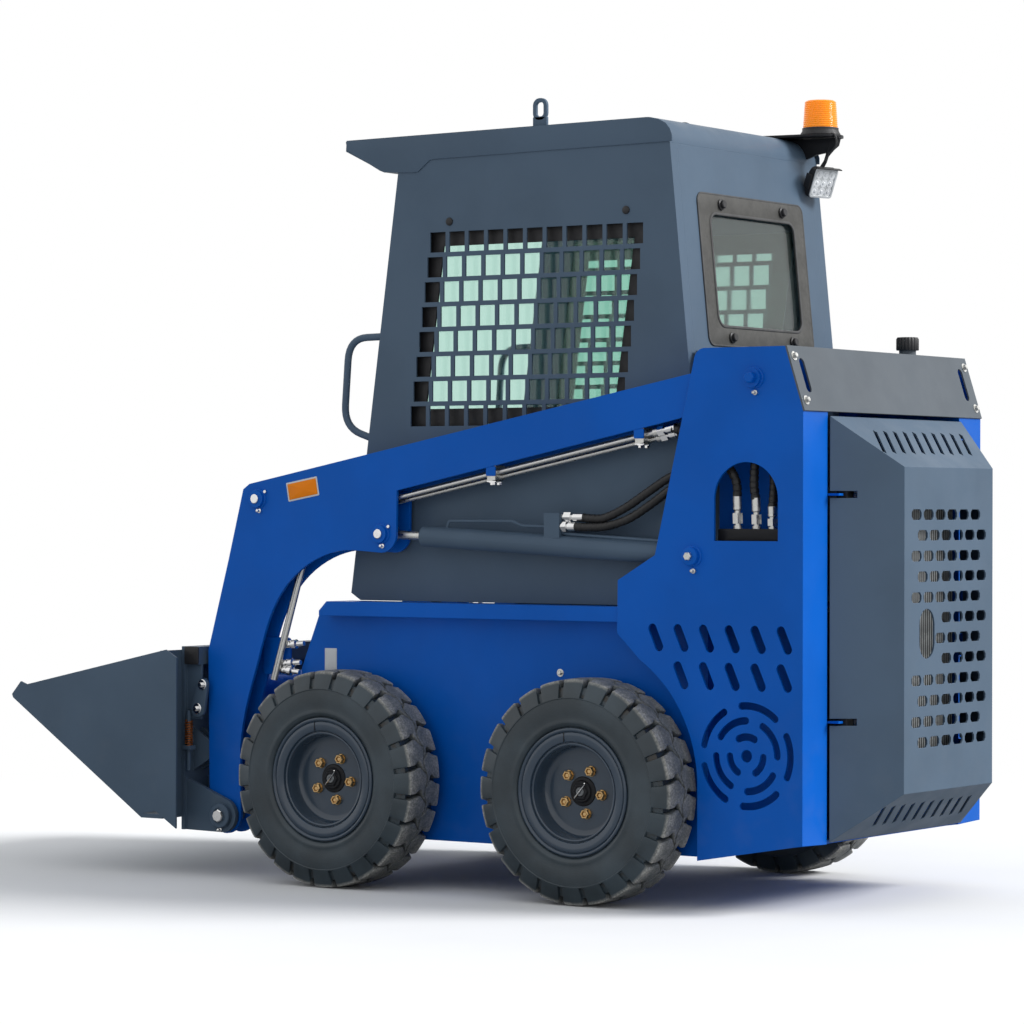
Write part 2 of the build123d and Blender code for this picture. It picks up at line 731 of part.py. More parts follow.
def cab_side_left():
    """Side wall: outer sheet with the square grille, thick frame behind it."""
    with BuildPart() as wall:
        with BuildSketch(side_plane(CAB_X - CAB_WALL)) as outline:
            with BuildLine():
                Polyline(
                    (CAB_FRONT_FOOT, CAB_BOTTOM + 20),
                    (-27.0, CAB_BOTTOM),
                    (cab_rear(CAB_BOTTOM), CAB_BOTTOM),
                    (cab_rear(CAB_SEAM), CAB_SEAM),
                    (195.0, CAB_SEAM),
                    (166.0, 1950.0),
                    (cab_front(1950.0), 1950.0),
                    close=True,
                )
            make_face()
        extrude(amount=CAB_WALL)
        with BuildSketch(side_plane(CAB_X - CAB_WALL)):
            add(grille_outline(14.0))
        extrude(amount=CAB_WALL - CAB_SHEET, mode=Mode.SUBTRACT)
        with BuildSketch(side_plane(CAB_X - CAB_SHEET)):
            with Locations(*grille_centres()):
                Rectangle(GRILLE_OPENING_W, GRILLE_OPENING_H)
        extrude(amount=CAB_SHEET, mode=Mode.SUBTRACT)
    return wall.part


def grille_centres():
    """Centres of the grille's openings, in columns that lean with the cab's front edge."""
    centres = []
    for row in range(GRILLE_ROWS):
        rise = (row - (GRILLE_ROWS - 1) / 2) * GRILLE_PITCH_Z
        for column in range(GRILLE_COLUMNS):
            along = (column - (GRILLE_COLUMNS - 1) / 2) * GRILLE_PITCH_Y
            centres.append((GRILLE_CENTRE[0] + along + rise * CAB_FRONT_LEAN, GRILLE_CENTRE[1] + rise))
    return centres


def grille_outline(margin):
    """Leaning outline around the grille's openings."""
    half_y = GRILLE_COLUMNS * GRILLE_PITCH_Y / 2 + margin
    half_z = GRILLE_ROWS * GRILLE_PITCH_Z / 2 + margin
    lean = half_z * CAB_FRONT_LEAN
    y, z = GRILLE_CENTRE
    with BuildSketch() as outline:
        with BuildLine():
            Polyline(
                (y - half_y - lean, z - half_z),
                (y + half_y - lean, z - half_z),
                (y + half_y + lean, z + half_z),
                (y - half_y + lean, z + half_z),
                close=True,
            )
        make_face()
    return outline.sketch


def side_windows():
    """Glass pane inside each side wall."""
    with BuildPart() as panes:
        for sign in (-1, 1):
            x = CAB_X - CAB_WALL if sign > 0 else -CAB_X + CAB_WALL - 6
            with BuildSketch(side_plane(x)):
                add(grille_outline(14.0))
            extrude(amount=6)
    save(panes.part, "side_windows")


def cab_roof():
    """Roof cap with its visor at the front and a rounded rear edge."""
    with BuildPart() as roof:
        with BuildSketch(side_plane(-CAB_X)):
            with BuildLine():
                Polyline(
                    (895.0, ROOF_TOP),
                    (-78.0, ROOF_TOP - 10),
                    (-80.0, ROOF_TOP - 40),
                    (52.0, 1952.0),
                    (cab_front(1950.0), 1950.0),
                    (166.0, 1950.0),
                    (195.0, CAB_SEAM),
                    (cab_rear(CAB_SEAM), CAB_SEAM),
                )
                RadiusArc((895.0, ROOF_TOP), (cab_rear(CAB_SEAM), CAB_SEAM), 72.5)
            make_face()
        extrude(amount=2 * CAB_X)
    save(roof.part, "cab_roof")
    return roof.part


def rear_wall_plane():
    """Plane on the cab's leaning rear face, drawn in X and distance up the face."""
    return Plane(origin=at(0, (cab_rear(CAB_BOTTOM), CAB_BOTTOM)), x_dir=(-1, 0, 0), z_dir=(0, 1, CAB_REAR_LEAN))


def cab_rear_wall():
    """Leaning rear wall with the window opening."""
    lean = sqrt(1 + CAB_REAR_LEAN**2)
    width = 2 * (CAB_X - CAB_WALL)
    with BuildPart() as wall:
        with BuildSketch(side_plane(-width / 2)):
            with BuildLine():
                Polyline(
                    (cab_rear(CAB_BOTTOM) - CAB_WALL, CAB_BOTTOM),
                    (cab_rear(CAB_BOTTOM), CAB_BOTTOM),
                    (cab_rear(CAB_SEAM), CAB_SEAM),
                    (cab_rear(CAB_SEAM) - CAB_WALL, CAB_SEAM),
                    close=True,
                )
            make_face()
        extrude(amount=width)
        with BuildSketch(rear_wall_plane()):
            with Locations((0, (1668.0 - CAB_BOTTOM) * lean)):
                RectangleRounded(540, 380, 40)
        extrude(amount=-2 * CAB_WALL, mode=Mode.SUBTRACT)
    save(wall.part, "cab_rear_wall")
    with BuildPart() as window:
        with BuildSketch(rear_wall_plane().offset(-8)):
            with Locations((0, (1668.0 - CAB_BOTTOM) * lean)):
                RectangleRounded(540, 380, 40)
        extrude(amount=-8)
    save(window.part, "rear_window")


def cab_front_frame():
    """Header and sill of the entrance."""
    half = CAB_X - CAB_WALL
    with BuildPart() as bars:
        for low, high in ((CAB_BOTTOM, CAB_BOTTOM + 45), (1905.0, 1950.0)):
            with BuildSketch(side_plane(-half)):
                with BuildLine():
                    Polyline(
                        (cab_front(low) + 10, low),
                        (cab_front(low) + 50, low),
                        (cab_front(high) + 50, high),
                        (cab_front(high) + 10, high),
                        close=True,
                    )
                make_face()
            extrude(amount=2 * half)
    save(bars.part, "cab_front_frame")


def cab_floor():
    """Foot-well floor, riser under the seat and the deck behind it, folded from one plate."""
    deck = 800.0
    well = 430.0
    riser = 430.0
    plate = 6.0
    rear = cab_rear(deck) - CAB_WALL
    with BuildPart() as pan:
        with BuildSketch(side_plane(-CASE_IN_X)):
            with BuildLine():
                Polyline(
                    (FRAME_FRONT + FRAME_PLATE, well),
                    (riser, well),
                    (riser, deck - plate),
                    (rear, deck - plate),
                    (rear, deck),
                    (riser - plate, deck),
                    (riser - plate, well + plate),
                    (FRAME_FRONT + FRAME_PLATE, well + plate),
                    close=True,
                )
            make_face()
        extrude(amount=2 * CASE_IN_X)
    save(pan.part, "cab_floor")


def seat():
    """Seat cushion and back."""
    with BuildPart() as cushion:
        with BuildSketch(Plane.XY.offset(800)):
            with Locations((0, FRONT_AXLE_Y + 640)):
                RectangleRounded(460, 440, 50)
        extrude(amount=110)
        fillet(cushion.faces().sort_by(Axis.Z)[-1].edges(), radius=SEAT_EDGE)
    save(cushion.part, "seat_cushion")
    with BuildPart() as back:
        with BuildSketch(side_plane(-220)):
            with BuildLine():
                Polyline((780, 911), (880, 911), (930, 1400), (850, 1400), close=True)
            make_face()
        extrude(amount=440)
        fillet(back.faces().sort_by(Axis.Y)[0].edges(), radius=SEAT_EDGE)
    save(back.part, "seat_back")


def control_levers():
    """Two drive levers that stand on the drive cases."""
    with BuildPart() as levers:
        for x in (-322.0, 322.0):
            add(bar_between((165, FRAME_TOP - 20), (260, 1130), 9, x))
            with Locations(at(x, (262, 1140))):
                Sphere(22)
        split(bisect_by=Plane.XY.offset(FRAME_TOP), keep=Keep.TOP)
    save(levers.part, "control_levers")


def grab_handles(wall):
    """Bent grab handle on each front post, its ends cut to the post."""
    with BuildPart() as handles:
        add(bent_tube(HANDLE, HANDLE_R, HANDLE_BEND, CAB_X - HANDLE_IN))
        add(wall, mode=Mode.SUBTRACT)
        outside = handles.part.solids().sort_by(Axis.Y)[0]
    with BuildPart() as pair:
        add(outside)
        mirror(about=Plane.YZ)
    save(pair.part, "grab_handles")


def cab_fittings(roof):
    """Lifting eyes, beacon with its bracket, work light and filler cap."""
    with BuildPart() as eyes:
        for x in (-CAB_X + 20, CAB_X - 30):
            with BuildSketch(side_plane(x)):
                with Locations((564, ROOF_TOP + 20)):
                    Rectangle(40, 40)
                with Locations((564, ROOF_TOP + 40)):
                    Circle(20)
                    Circle(11, mode=Mode.SUBTRACT)
            extrude(amount=10)
    save(eyes.part, "lifting_eyes")
    with BuildPart() as bracket:
        with BuildSketch(side_plane(-375)):
            with BuildLine():
                Polyline((968, 1992), (1060, 2068), (1060, 2076), (880, 2076), (880, 2040), close=True)
            make_face()
        extrude(amount=70)
        add(roof, mode=Mode.SUBTRACT)
    save(bracket.part, "beacon_bracket")
    with BuildPart() as lamp:
        x, station = BEACON_PLACE
        with BuildSketch(side_plane(x)):
            with BuildLine():
                Polyline(
                    (station, BEACON_FOOT),
                    (station + BEACON_FLARE, BEACON_FOOT),
                    (station + BEACON_FLARE, BEACON_FOOT + 6),
                    (station + BEACON_R, BEACON_FOOT + BEACON_BASE_H),
                    (station + BEACON_R, BEACON_TOP - 30),
                    (station + BEACON_R - 8, BEACON_TOP - 10),
                    (station + BEACON_R - 24, BEACON_TOP),
                    (station, BEACON_TOP),
                    close=True,
                )
            make_face()
        revolve(axis=Axis(at(x, (station, 0)), (0, 0, 1)))
    save(lamp.part, "beacon")
    with BuildPart() as light:
        with BuildSketch(Plane.XZ.offset(-(FRONT_AXLE_Y + LIGHT_REACH))):
            with Locations(LIGHT_PLACE):
                RectangleRounded(LIGHT_SIZE, LIGHT_SIZE, 8)
        extrude(amount=LIGHT_DEPTH)
        chamfer(light.faces().sort_by(Axis.Y)[0].edges(), length=6)
        with BuildSketch(Plane.XZ.offset(-(FRONT_AXLE_Y + LIGHT_REACH))):
            with Locations((LIGHT_PLACE[0], LIGHT_PLACE[1] + LIGHT_SIZE / 2 - 2)):
                Rectangle(LIGHT_SIZE - 12, 3)
        extrude(amount=-14)
        with BuildSketch(Plane.XZ.offset(-(FRONT_AXLE_Y + LIGHT_REACH))):
            with Locations(LIGHT_PLACE):
                Rectangle(LIGHT_SIZE - 14, LIGHT_SIZE - 14)
        extrude(amount=3, mode=Mode.SUBTRACT)
    save(light.part, "work_light")
    with BuildPart() as cap:
        place = (CAP_PLACE[0], FRONT_AXLE_Y + CAP_PLACE[1])
        with BuildSketch(Plane.XY.offset(TOWER_TOP)):
            with Locations(place):
                Circle(CAP_R - 6)
        extrude(amount=CAP_NECK_H)
        with BuildSketch(Plane.XY.offset(TOWER_TOP + CAP_NECK_H)):
            with Locations(place):
                RegularPolygon(CAP_R, 16)
        extrude(amount=CAP_TOP - TOWER_TOP - CAP_NECK_H)
    save(cap.part, "filler_cap")


def arm_outline():
    """Side outline of one boom arm with its leg."""
    px, pz = BOOM_PIVOT
    tilt = atan(ARM_TOP_SLOPE)
    top_end = (px - ARM_END_R * sin(tilt), pz + ARM_END_R * cos(tilt))
    low_end = (px + ARM_END_R * sin(tilt), pz - ARM_END_R * cos(tilt))
    bx, bz = BUCKET_PIN
    with BuildSketch() as outline:
        with BuildLine():
            Line(top_end, (-347.0, 1097.0))
            Line((-347.0, 1097.0), (-369.0, 1082.0))
            Polyline((-369.0, 1082.0), (-420.0, 887.0), (-492.0, 630.0), (-487.0, 248.0), (bx - LEG_END_R, bz))
            ThreePointArc((bx - LEG_END_R, bz), (bx, bz - LEG_END_R), (bx + LEG_END_R, bz))
            Line((bx + LEG_END_R, bz), (-378.0, 365.0))
            Spline(
                (-378.0, 365.0),
                (-353.0, 494.0),
                (-319.0, 598.0),
                (-276.0, 724.0),
                (-218.0, 815.0),
                (-125.0, 884.0),
                (12.0, 915.0),
            )
            Line((12.0, 915.0), (100.0, 909.0))
            ThreePointArc((100.0, 909.0), (140.0, 922.0), (156.0, 962.0))
            Line((156.0, 962.0), ARM_STEP)
            Line(ARM_STEP, low_end)
            ThreePointArc(low_end, (px + ARM_END_R * cos(tilt), pz + ARM_END_R * sin(tilt)), top_end)
        make_face()
    return outline.sketch


def arm_left():
    """Two arm plates with a strip along the top edge between them."""
    px, pz = BOOM_PIVOT
    with BuildPart() as arm:
        for x in (ARM_IN_X, ARM_OUT_X - ARM_PLATE):
            with BuildSketch(side_plane(x)):
                add(arm_outline())
                with Locations(BOOM_PIVOT, BUCKET_PIN):
                    Circle(PIVOT_PIN_R + PIN_GAP, mode=Mode.SUBTRACT)
            extrude(amount=ARM_PLATE)
        with BuildSketch(side_plane(ARM_IN_X)):
            with Locations(TILT_BASE_PIN):
                Circle(PIN_R)
        extrude(amount=ARM_OUT_X - ARM_IN_X)
        # Top strip, then the front strip down to where the tilt rod comes out
        with BuildSketch(side_plane(ARM_IN_X)):
            with BuildLine():
                Polyline(
                    (px - 120, pz - 120 * ARM_TOP_SLOPE + ARM_END_R),
                    (-347.0, 1097.0),
                    (-369.0, 1082.0),
                    (-420.0, 887.0),
                    (-492.0, 630.0),
                    (-483.0, 630.0),
                    (-411.0, 885.0),
                    (-361.0, 1075.0),
                    (-344.0, 1088.0),
                    (px - 120, pz - 120 * ARM_TOP_SLOPE + ARM_END_R - 9),
                    close=True,
                )
            make_face()
        extrude(amount=ARM_OUT_X - ARM_IN_X)
        for point in (TILT_BASE_PIN, LIFT_PIN):
            with BuildSketch(side_plane(ARM_OUT_X)):
                with Locations(point):
                    Circle(BOSS_R)
            extrude(amount=BOSS_H)
            with BuildSketch(side_plane(ARM_OUT_X)):
                with Locations(point):
                    Circle(PIN_R)
            extrude(amount=BOSS_H + PIN_END)
    return arm.part


def under_arm(station):
    """Height of the arm's underside."""
    tilt = atan(ARM_TOP_SLOPE)
    far = (BOOM_PIVOT[0] + ARM_END_R * sin(tilt), BOOM_PIVOT[1] - ARM_END_R * cos(tilt))
    return ARM_STEP[1] + (station - ARM_STEP[0]) * (far[1] - ARM_STEP[1]) / (far[0] - ARM_STEP[0])


def boom_tubes():
    """Pair of hydraulic tubes, clamps and end fittings on each arm."""
    dx, dz = TUBE_SHIFT
    with BuildPart() as left:
        for x, leg_shift, drop in ((TUBE_X[0], 0.0, 0.0), (TUBE_X[1], dx, dz)):
            upper = (TUBE_UPPER_END[0], TUBE_UPPER_END[1] + drop)
            knee = (TUBE_KNEE[0] + leg_shift, TUBE_KNEE[1] + drop)
            leg = (TUBE_LEG[0] + leg_shift, TUBE_LEG[1])
            add(bent_tube([upper, knee, leg, (TUBE_LOWER_END[0] + leg_shift, TUBE_LOWER_END[1])], TUBE_R, TUBE_BEND, x))
            rise = (upper[0] - knee[0], upper[1] - knee[1])
            span = hypot(*rise)
            end = (upper[0] + rise[0] * FITTING_LENGTH / span, upper[1] + rise[1] * FITTING_LENGTH / span)
            add(bar_between(upper, end, FITTING_R, x))
        for station in TUBE_CLAMPS:
            with BuildSketch(side_plane((sum(TUBE_X) - CLAMP[2]) / 2)):
                with BuildLine():
                    near, far = station - CLAMP[0] / 2, station + CLAMP[0] / 2
                    Polyline(
                        (near, under_arm(near)),
                        (far, under_arm(far)),
                        (far, under_arm(far) - CLAMP[1]),
                        (near, under_arm(near) - CLAMP[1]),
                        close=True,
                    )
                make_face()
            extrude(amount=CLAMP[2])
    with BuildPart() as pair:
        add(left.part)
        mirror(left.part, about=Plane.YZ)
    save(pair.part, "boom_tubes")


def boom_cross_tube():
    """Tube that joins the two legs."""
    with BuildPart() as tube:
        with BuildSketch(side_plane(-ARM_IN_X)):
            with Locations(CROSS_TUBE):
                Circle(CROSS_TUBE_R)
                Circle(CROSS_TUBE_R - 6, mode=Mode.SUBTRACT)
        extrude(amount=2 * ARM_IN_X)
    save(tube.part, "boom_cross_tube")


def lift_cylinder_left():
    """Lift barrel and rod along the line between their pins."""
    base, tip = LIFT_BASE_PIN, LIFT_PIN
    length = hypot(tip[0] - base[0], tip[1] - base[1])
    unit = ((tip[0] - base[0]) / length, (tip[1] - base[1]) / length)
    barrel_length = (LIFT_BARREL_END - base[0]) / unit[0]
    mouth = (base[0] + unit[0] * barrel_length, base[1] + unit[1] * barrel_length)
    neck = (base[0] + unit[0] * 22, base[1] + unit[1] * 22)
    with BuildPart() as barrel:
        add(bar_between(neck, mouth, LIFT_BARREL_R, CYLINDER_X))
        add(round_eye(base, EYE_R, EYE_WIDTH, CYLINDER_X))
        add(round_eye(base, PIN_R + PIN_GAP, EYE_WIDTH, CYLINDER_X), mode=Mode.SUBTRACT)
        top = (PORT_STATION, base[1] + unit[1] * (base[0] - PORT_STATION) / -unit[0] + LIFT_BARREL_R)
        add(side_block((top[0], top[1] + PORT_BLOCK[1] / 2 - 8), PORT_BLOCK, CYLINDER_X))
        pipe = [
            (LIFT_BARREL_END + 75, top[1] + 16),
            (LIFT_BARREL_END + 82, top[1] + 36),
            (PORT_STATION - 137, top[1] + 36),
            (PORT_STATION - 104, top[1] + 24),
            (PORT_STATION, top[1] + 22),
        ]
        add(bent_tube(pipe, PORT_TUBE_R, 9, CYLINDER_X))
        bore_end = (base[0] + unit[0] * 60, base[1] + unit[1] * 60)
        plane = Plane(origin=at(CYLINDER_X, mouth), x_dir=(1, 0, 0), z_dir=(0, -unit[0], -unit[1]))
        with BuildSketch(plane):
            Circle(LIFT_ROD_R + 0.5)
        extrude(amount=hypot(mouth[0] - bore_end[0], mouth[1] - bore_end[1]), mode=Mode.SUBTRACT)
    with BuildPart() as rod:
        add(bar_between((base[0] + unit[0] * 90, base[1] + unit[1] * 90), tip, LIFT_ROD_R, CYLINDER_X))
        add(round_eye(tip, EYE_R, EYE_WIDTH, CYLINDER_X))
    return barrel.part, rod.part


def tilt_rod_pin():
    """Station and height of the tilt rod's pin on the coupler at rest."""
    lean = radians(TILT_ARM_LEAN)
    return (BUCKET_PIN[0] - TILT_ARM * sin(lean), BUCKET_PIN[1] + TILT_ARM * cos(lean))


def tilt_cylinder_left():
    """Tilt barrel and rod inside the boom's leg."""
    base, tip = TILT_BASE_PIN, tilt_rod_pin()
    length = hypot(tip[0] - base[0], tip[1] - base[1])
    unit = ((tip[0] - base[0]) / length, (tip[1] - base[1]) / length)
    reach = length - 110
    mouth = (base[0] + unit[0] * reach, base[1] + unit[1] * reach)
    neck = (base[0] + unit[0] * 15, base[1] + unit[1] * 15)
    with BuildPart() as barrel:
        add(bar_between(neck, mouth, TILT_BARREL_R, CYLINDER_X))
        add(round_eye(base, TILT_EYE_R, EYE_WIDTH, CYLINDER_X))
        add(round_eye(base, PIN_R + PIN_GAP, EYE_WIDTH, CYLINDER_X), mode=Mode.SUBTRACT)
        plane = Plane(origin=at(CYLINDER_X, mouth), x_dir=(1, 0, 0), z_dir=(0, -unit[0], -unit[1]))
        with BuildSketch(plane):
            Circle(TILT_ROD_R + 0.5)
        extrude(amount=reach - 60, mode=Mode.SUBTRACT)
    with BuildPart() as rod:
        add(bar_between((base[0] + unit[0] * 90, base[1] + unit[1] * 90), tip, TILT_ROD_R, CYLINDER_X))
        add(round_eye(tip, TILT_EYE_R, TILT_EYE_WIDTH, CYLINDER_X))
    return barrel.part, rod.part


def coupler():
    """Attachment plate with its ears on the boom's lower pins."""
    bx, bz = BUCKET_PIN
    back = COUPLER_FACE + COUPLER_PLATE
    with BuildPart() as plate:
        with BuildSketch(Plane.XZ.offset(-(FRONT_AXLE_Y + back))):
            with Locations((0, (COUPLER_LOW + COUPLER_TOP) / 2)):
                Rectangle(2 * COUPLER_HALF, COUPLER_TOP - COUPLER_LOW)
            with Locations((0, (COUPLER_LOW + COUPLER_TOP) / 2)):
                Rectangle(560, 330, mode=Mode.SUBTRACT)
        extrude(amount=COUPLER_PLATE)
        for x in (ARM_OUT_X + 5, ARM_IN_X - 5 - EAR_T, -ARM_OUT_X - 5 - EAR_T, -ARM_IN_X + 5):
            with BuildSketch(side_plane(x)):
                with BuildLine():
                    Polyline((bx, bz - 47), (back, COUPLER_LOW), (back, 270.0), (bx + 20, bz + 43))
                    ThreePointArc((bx + 20, bz + 43), (bx + 47, bz), (bx, bz - 47))
                make_face()
            extrude(amount=EAR_T)
        for x in (ARM_IN_X - 5 - EAR_T, -ARM_OUT_X - 5 - EAR_T):
            with BuildSketch(side_plane(x)):
                with Locations(BUCKET_PIN):
                    Circle(PIVOT_PIN_R)
            extrude(amount=ARM_OUT_X - ARM_IN_X + 10 + 2 * EAR_T)
        with BuildSketch(side_plane(-COUPLER_HALF)):
            with Locations((back + BEAM / 2, COUPLER_TOP - BEAM / 2)):
                Rectangle(BEAM, BEAM)
                Rectangle(BEAM - 10, BEAM - 10, mode=Mode.SUBTRACT)
        extrude(amount=2 * COUPLER_HALF)
        for x in (LATCH_X - LATCH_T - LATCH_PLATE, -LATCH_X + LATCH_T):
            with BuildSketch(side_plane(x)):
                with BuildLine():
                    Polyline(
                        (back, LATCH_LOWER[1] - 28),
                        (back, COUPLER_TOP - BEAM),
                        (back + BEAM, COUPLER_TOP - BEAM),
                        (back + BEAM, LATCH_UPPER[1] - 30),
                        (LATCH_LOWER[0] + 18, LATCH_LOWER[1] - 28),
                        close=True,
                    )
                make_face()
            extrude(amount=LATCH_PLATE)
        tx, tz = tilt_rod_pin()
        for sign in (-1, 1):
            for x in (CYLINDER_X - TILT_EYE_WIDTH / 2 - 12, CYLINDER_X + TILT_EYE_WIDTH / 2 + 2):
                with BuildSketch(side_plane(x if sign > 0 else -x - 10)):
                    with BuildLine():
                        Polyline((tx, tz - 20), (back, tz - 60), (back, tz + 60), (tx, tz + 20))
                        ThreePointArc((tx, tz + 20), (tx + 20, tz), (tx, tz - 20))
                    make_face()
                extrude(amount=10)
    save(plate.part, "coupler")


def latches():
    """Latch link with two pins, spring and locking rod at each end of the coupler."""
    with BuildPart() as left:
        with BuildSketch(side_plane(LATCH_X - LATCH_T)):
            for pin in (LATCH_UPPER, LATCH_LOWER):
                with Locations(pin):
                    Circle(LATCH_EYE_R)
            middle = ((LATCH_UPPER[0] + LATCH_LOWER[0]) / 2, (LATCH_UPPER[1] + LATCH_LOWER[1]) / 2)
            run = (LATCH_UPPER[0] - LATCH_LOWER[0], LATCH_UPPER[1] - LATCH_LOWER[1])
            with Locations(Location(middle, degrees(atan2(run[1], run[0])))):
                Rectangle(hypot(*run), 1.4 * LATCH_EYE_R)
        extrude(amount=LATCH_T)
        for pin in (LATCH_UPPER, LATCH_LOWER):
            with BuildSketch(side_plane(LATCH_X)):
                with Locations(pin):
                    Circle(LATCH_PIN_R)
            extrude(amount=LATCH_PIN_END)
        spring_x = LATCH_X - LATCH_T / 2 + 2
        station, low, high = SPRING
        add(bar_between((station, low), (station, high), SPRING_R, spring_x))
        add(bar_between((station, low - SPRING_ROD), (station, high + 25), SPRING_ROD_R, spring_x))
        add(side_block((station, low - 6), (28, 12, LATCH_T + 16), spring_x))
    with BuildPart() as pair:
        add(left.part)
        mirror(left.part, about=Plane.YZ)
    save(pair.part, "latches")


def bucket():
    """Bucket of folded plate with flat sides and a cutting edge."""
    tip = (-FRONT_REACH, BUCKET_EDGE_Z)
    heel = (-639.0, 172.0)
    outline = [
        tip,
        (-1092.0, 530.0),
        (-1070.0, 522.0),
        (-556.0, 633.0),
        (COUPLER_FACE + 49, 612.0),
        (COUPLER_FACE + 48, 135.0),
        (-591.0, 180.0),
        heel,
    ]
    with BuildPart() as body:
        for x in (-BUCKET_HALF, BUCKET_HALF - BUCKET_PLATE):
            with BuildSketch(side_plane(x)):
                with BuildLine():
                    Polyline(*outline, close=True)
                make_face()
            extrude(amount=BUCKET_PLATE)
        front = COUPLER_FACE - 8
        with BuildSketch(side_plane(-BUCKET_HALF)):
            with BuildLine():
                Polyline(
                    tip,
                    heel,
                    (front, 172.0),
                    (front, 630.0),
                    (COUPLER_FACE, 630.0),
                    (COUPLER_FACE, 160.0),
                    (-643.0, 160.0),
                    (tip[0] + 4, tip[1] - 10),
                    close=True,
                )
            make_face()
        extrude(amount=2 * BUCKET_HALF)
    save(body.part, "bucket")


def guard_hole_centres():
    """Centres of the guard's holes in staggered rows, without those that the hand hole takes."""
    centres = []
    for row in range(HOLE_ROWS):
        first = (HOLE_COLUMNS - 1) / 2 * HOLE_PITCH + (HOLE_STAGGER / 2 if row % 2 == 0 else -HOLE_STAGGER / 2)
        for column in range(HOLE_COLUMNS):
            x, z = first - column * HOLE_PITCH, HOLE_TOP_ROW - row * HOLE_ROW_PITCH
            beside = abs(x - HAND_HOLE[0]) < (HAND_HOLE_SIZE[0] + HOLE_W) / 2
            level = abs(z - HAND_HOLE[1]) < (HAND_HOLE_SIZE[1] + HOLE_H) / 2
            if not (beside and level):
                centres.append((x, z))
    return centres


def chamfered_opening():
    """Outline of one hole of the guard, with cut corners."""
    with BuildSketch() as opening:
        Rectangle(HOLE_W, HOLE_H)
        chamfer(opening.vertices(), length=HOLE_CORNER)
    return opening.sketch


def rear_guard():
    """Chamfered sheet guard over the radiator, open towards the machine, with its hinge knuckles."""
    base_y = FRONT_AXLE_Y + TOWER_REAR + GUARD_GAP
    face_y = FRONT_AXLE_Y + REAR_REACH
    with BuildPart() as guard:
        with BuildSketch(Plane.XZ.offset(-base_y)):
            with Locations((0, sum(GUARD_BASE_Z) / 2)):
                Rectangle(2 * GUARD_BASE_HALF, GUARD_BASE_Z[1] - GUARD_BASE_Z[0])
        with BuildSketch(Plane.XZ.offset(-face_y)):
            with Locations((0, sum(GUARD_FACE_Z) / 2)):
                Rectangle(2 * GUARD_FACE_HALF, GUARD_FACE_Z[1] - GUARD_FACE_Z[0])
        loft()
        mouth = guard.faces().sort_by(Axis.Y)[0]
        offset(amount=-GUARD_SHEET, openings=mouth)
        with BuildSketch(Plane.XZ.offset(-face_y)):
            with Locations(*guard_hole_centres()):
                add(chamfered_opening())
            with Locations(HAND_HOLE):
                SlotOverall(HAND_HOLE_SIZE[1], HAND_HOLE_SIZE[0], rotation=90)
        extrude(amount=2 * GUARD_SHEET, mode=Mode.SUBTRACT)
        for face_z, base_z in ((GUARD_FACE_Z[1], GUARD_BASE_Z[1]), (GUARD_FACE_Z[0], GUARD_BASE_Z[0])):
            slope = Plane(
                origin=(0, (base_y + face_y) / 2, (face_z + base_z) / 2),
                x_dir=(1, 0, 0),
                z_dir=(0, abs(base_z - face_z), copysign(face_y - base_y, base_z - face_z)),
            )
            lean = copysign(LOUVRE_LEAN, face_z - base_z)
            with BuildSketch(slope):
                for louvre in range(LOUVRES):
                    x = (louvre - (LOUVRES - 1) / 2) * LOUVRE_PITCH
                    with Locations(Location((x, 0), 90 + lean)):
                        Rectangle(LOUVRE_LENGTH, LOUVRE_WIDTH)
            extrude(amount=GUARD_SHEET, both=True, mode=Mode.SUBTRACT)
        # Notches for the latch tabs
        for height in NOTCH_HEIGHTS:
            with BuildSketch(Plane.XY.offset(height - NOTCH_H / 2)):
                with Locations((GUARD_BASE_HALF - 20, base_y + NOTCH_REACH / 2)):
                    Rectangle(80, NOTCH_REACH)
            extrude(amount=NOTCH_H, mode=Mode.SUBTRACT)
        for height in KNUCKLES:
            for side in (-1, 1):
                middle = height + side * KNUCKLE_LENGTH
                low, high = middle - KNUCKLE_LENGTH / 2 - 2, middle + KNUCKLE_LENGTH / 2 + 2
                add(upright(HINGE_X, HINGE_Y, low, high, KNUCKLE_R + KNUCKLE_GAP), mode=Mode.SUBTRACT)
            low, high = height - KNUCKLE_LENGTH / 2, height + KNUCKLE_LENGTH / 2
            add(upright(HINGE_X, HINGE_Y, low, high, KNUCKLE_R))
            add(upright(HINGE_X, HINGE_Y, low, high, HINGE_PIN_R + 0.5), mode=Mode.SUBTRACT)
    save(guard.part, "rear_guard")


os.makedirs("parts", exist_ok=True)
wheels()
main_frame()
axle_tubes()
fenders()
plain_tower = tower()
tower_left(plain_tower)
tower_right(plain_tower)
rear_top_panel()
hood()
engine_and_radiator()
cab_side = cab_side_left()
save_pair(cab_side, "cab_side")
side_windows()
cab_top = cab_roof()
cab_rear_wall()
cab_front_frame()
cab_floor()
seat()
control_levers()
grab_handles(cab_side)
cab_fittings(cab_top)
save_pair(arm_left(), "arm")
boom_cross_tube()
boom_tubes()
lift_barrel, lift_rod = lift_cylinder_left()
save_pair(lift_barrel, "lift_barrel")
save_pair(lift_rod, "lift_rod")
tilt_barrel, tilt_rod = tilt_cylinder_left()
save_pair(tilt_barrel, "tilt_barrel")
save_pair(tilt_rod, "tilt_rod")
coupler()
latches()
bucket()
rear_guard()
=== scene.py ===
"""Looks of a small skid steer loader: paint, rubber, glass, hoses and fittings around its CAD frame.

The frame is in metres: +Z up, +Y towards the engine end, +X towards the machine's own left side.
A point of the side view is given as (station, height): station is the distance behind the front axle.
"""

import json
from math import cos, pi, radians, sin

import bmesh
import bpy
import numpy as np
from mathutils import Matrix, Vector


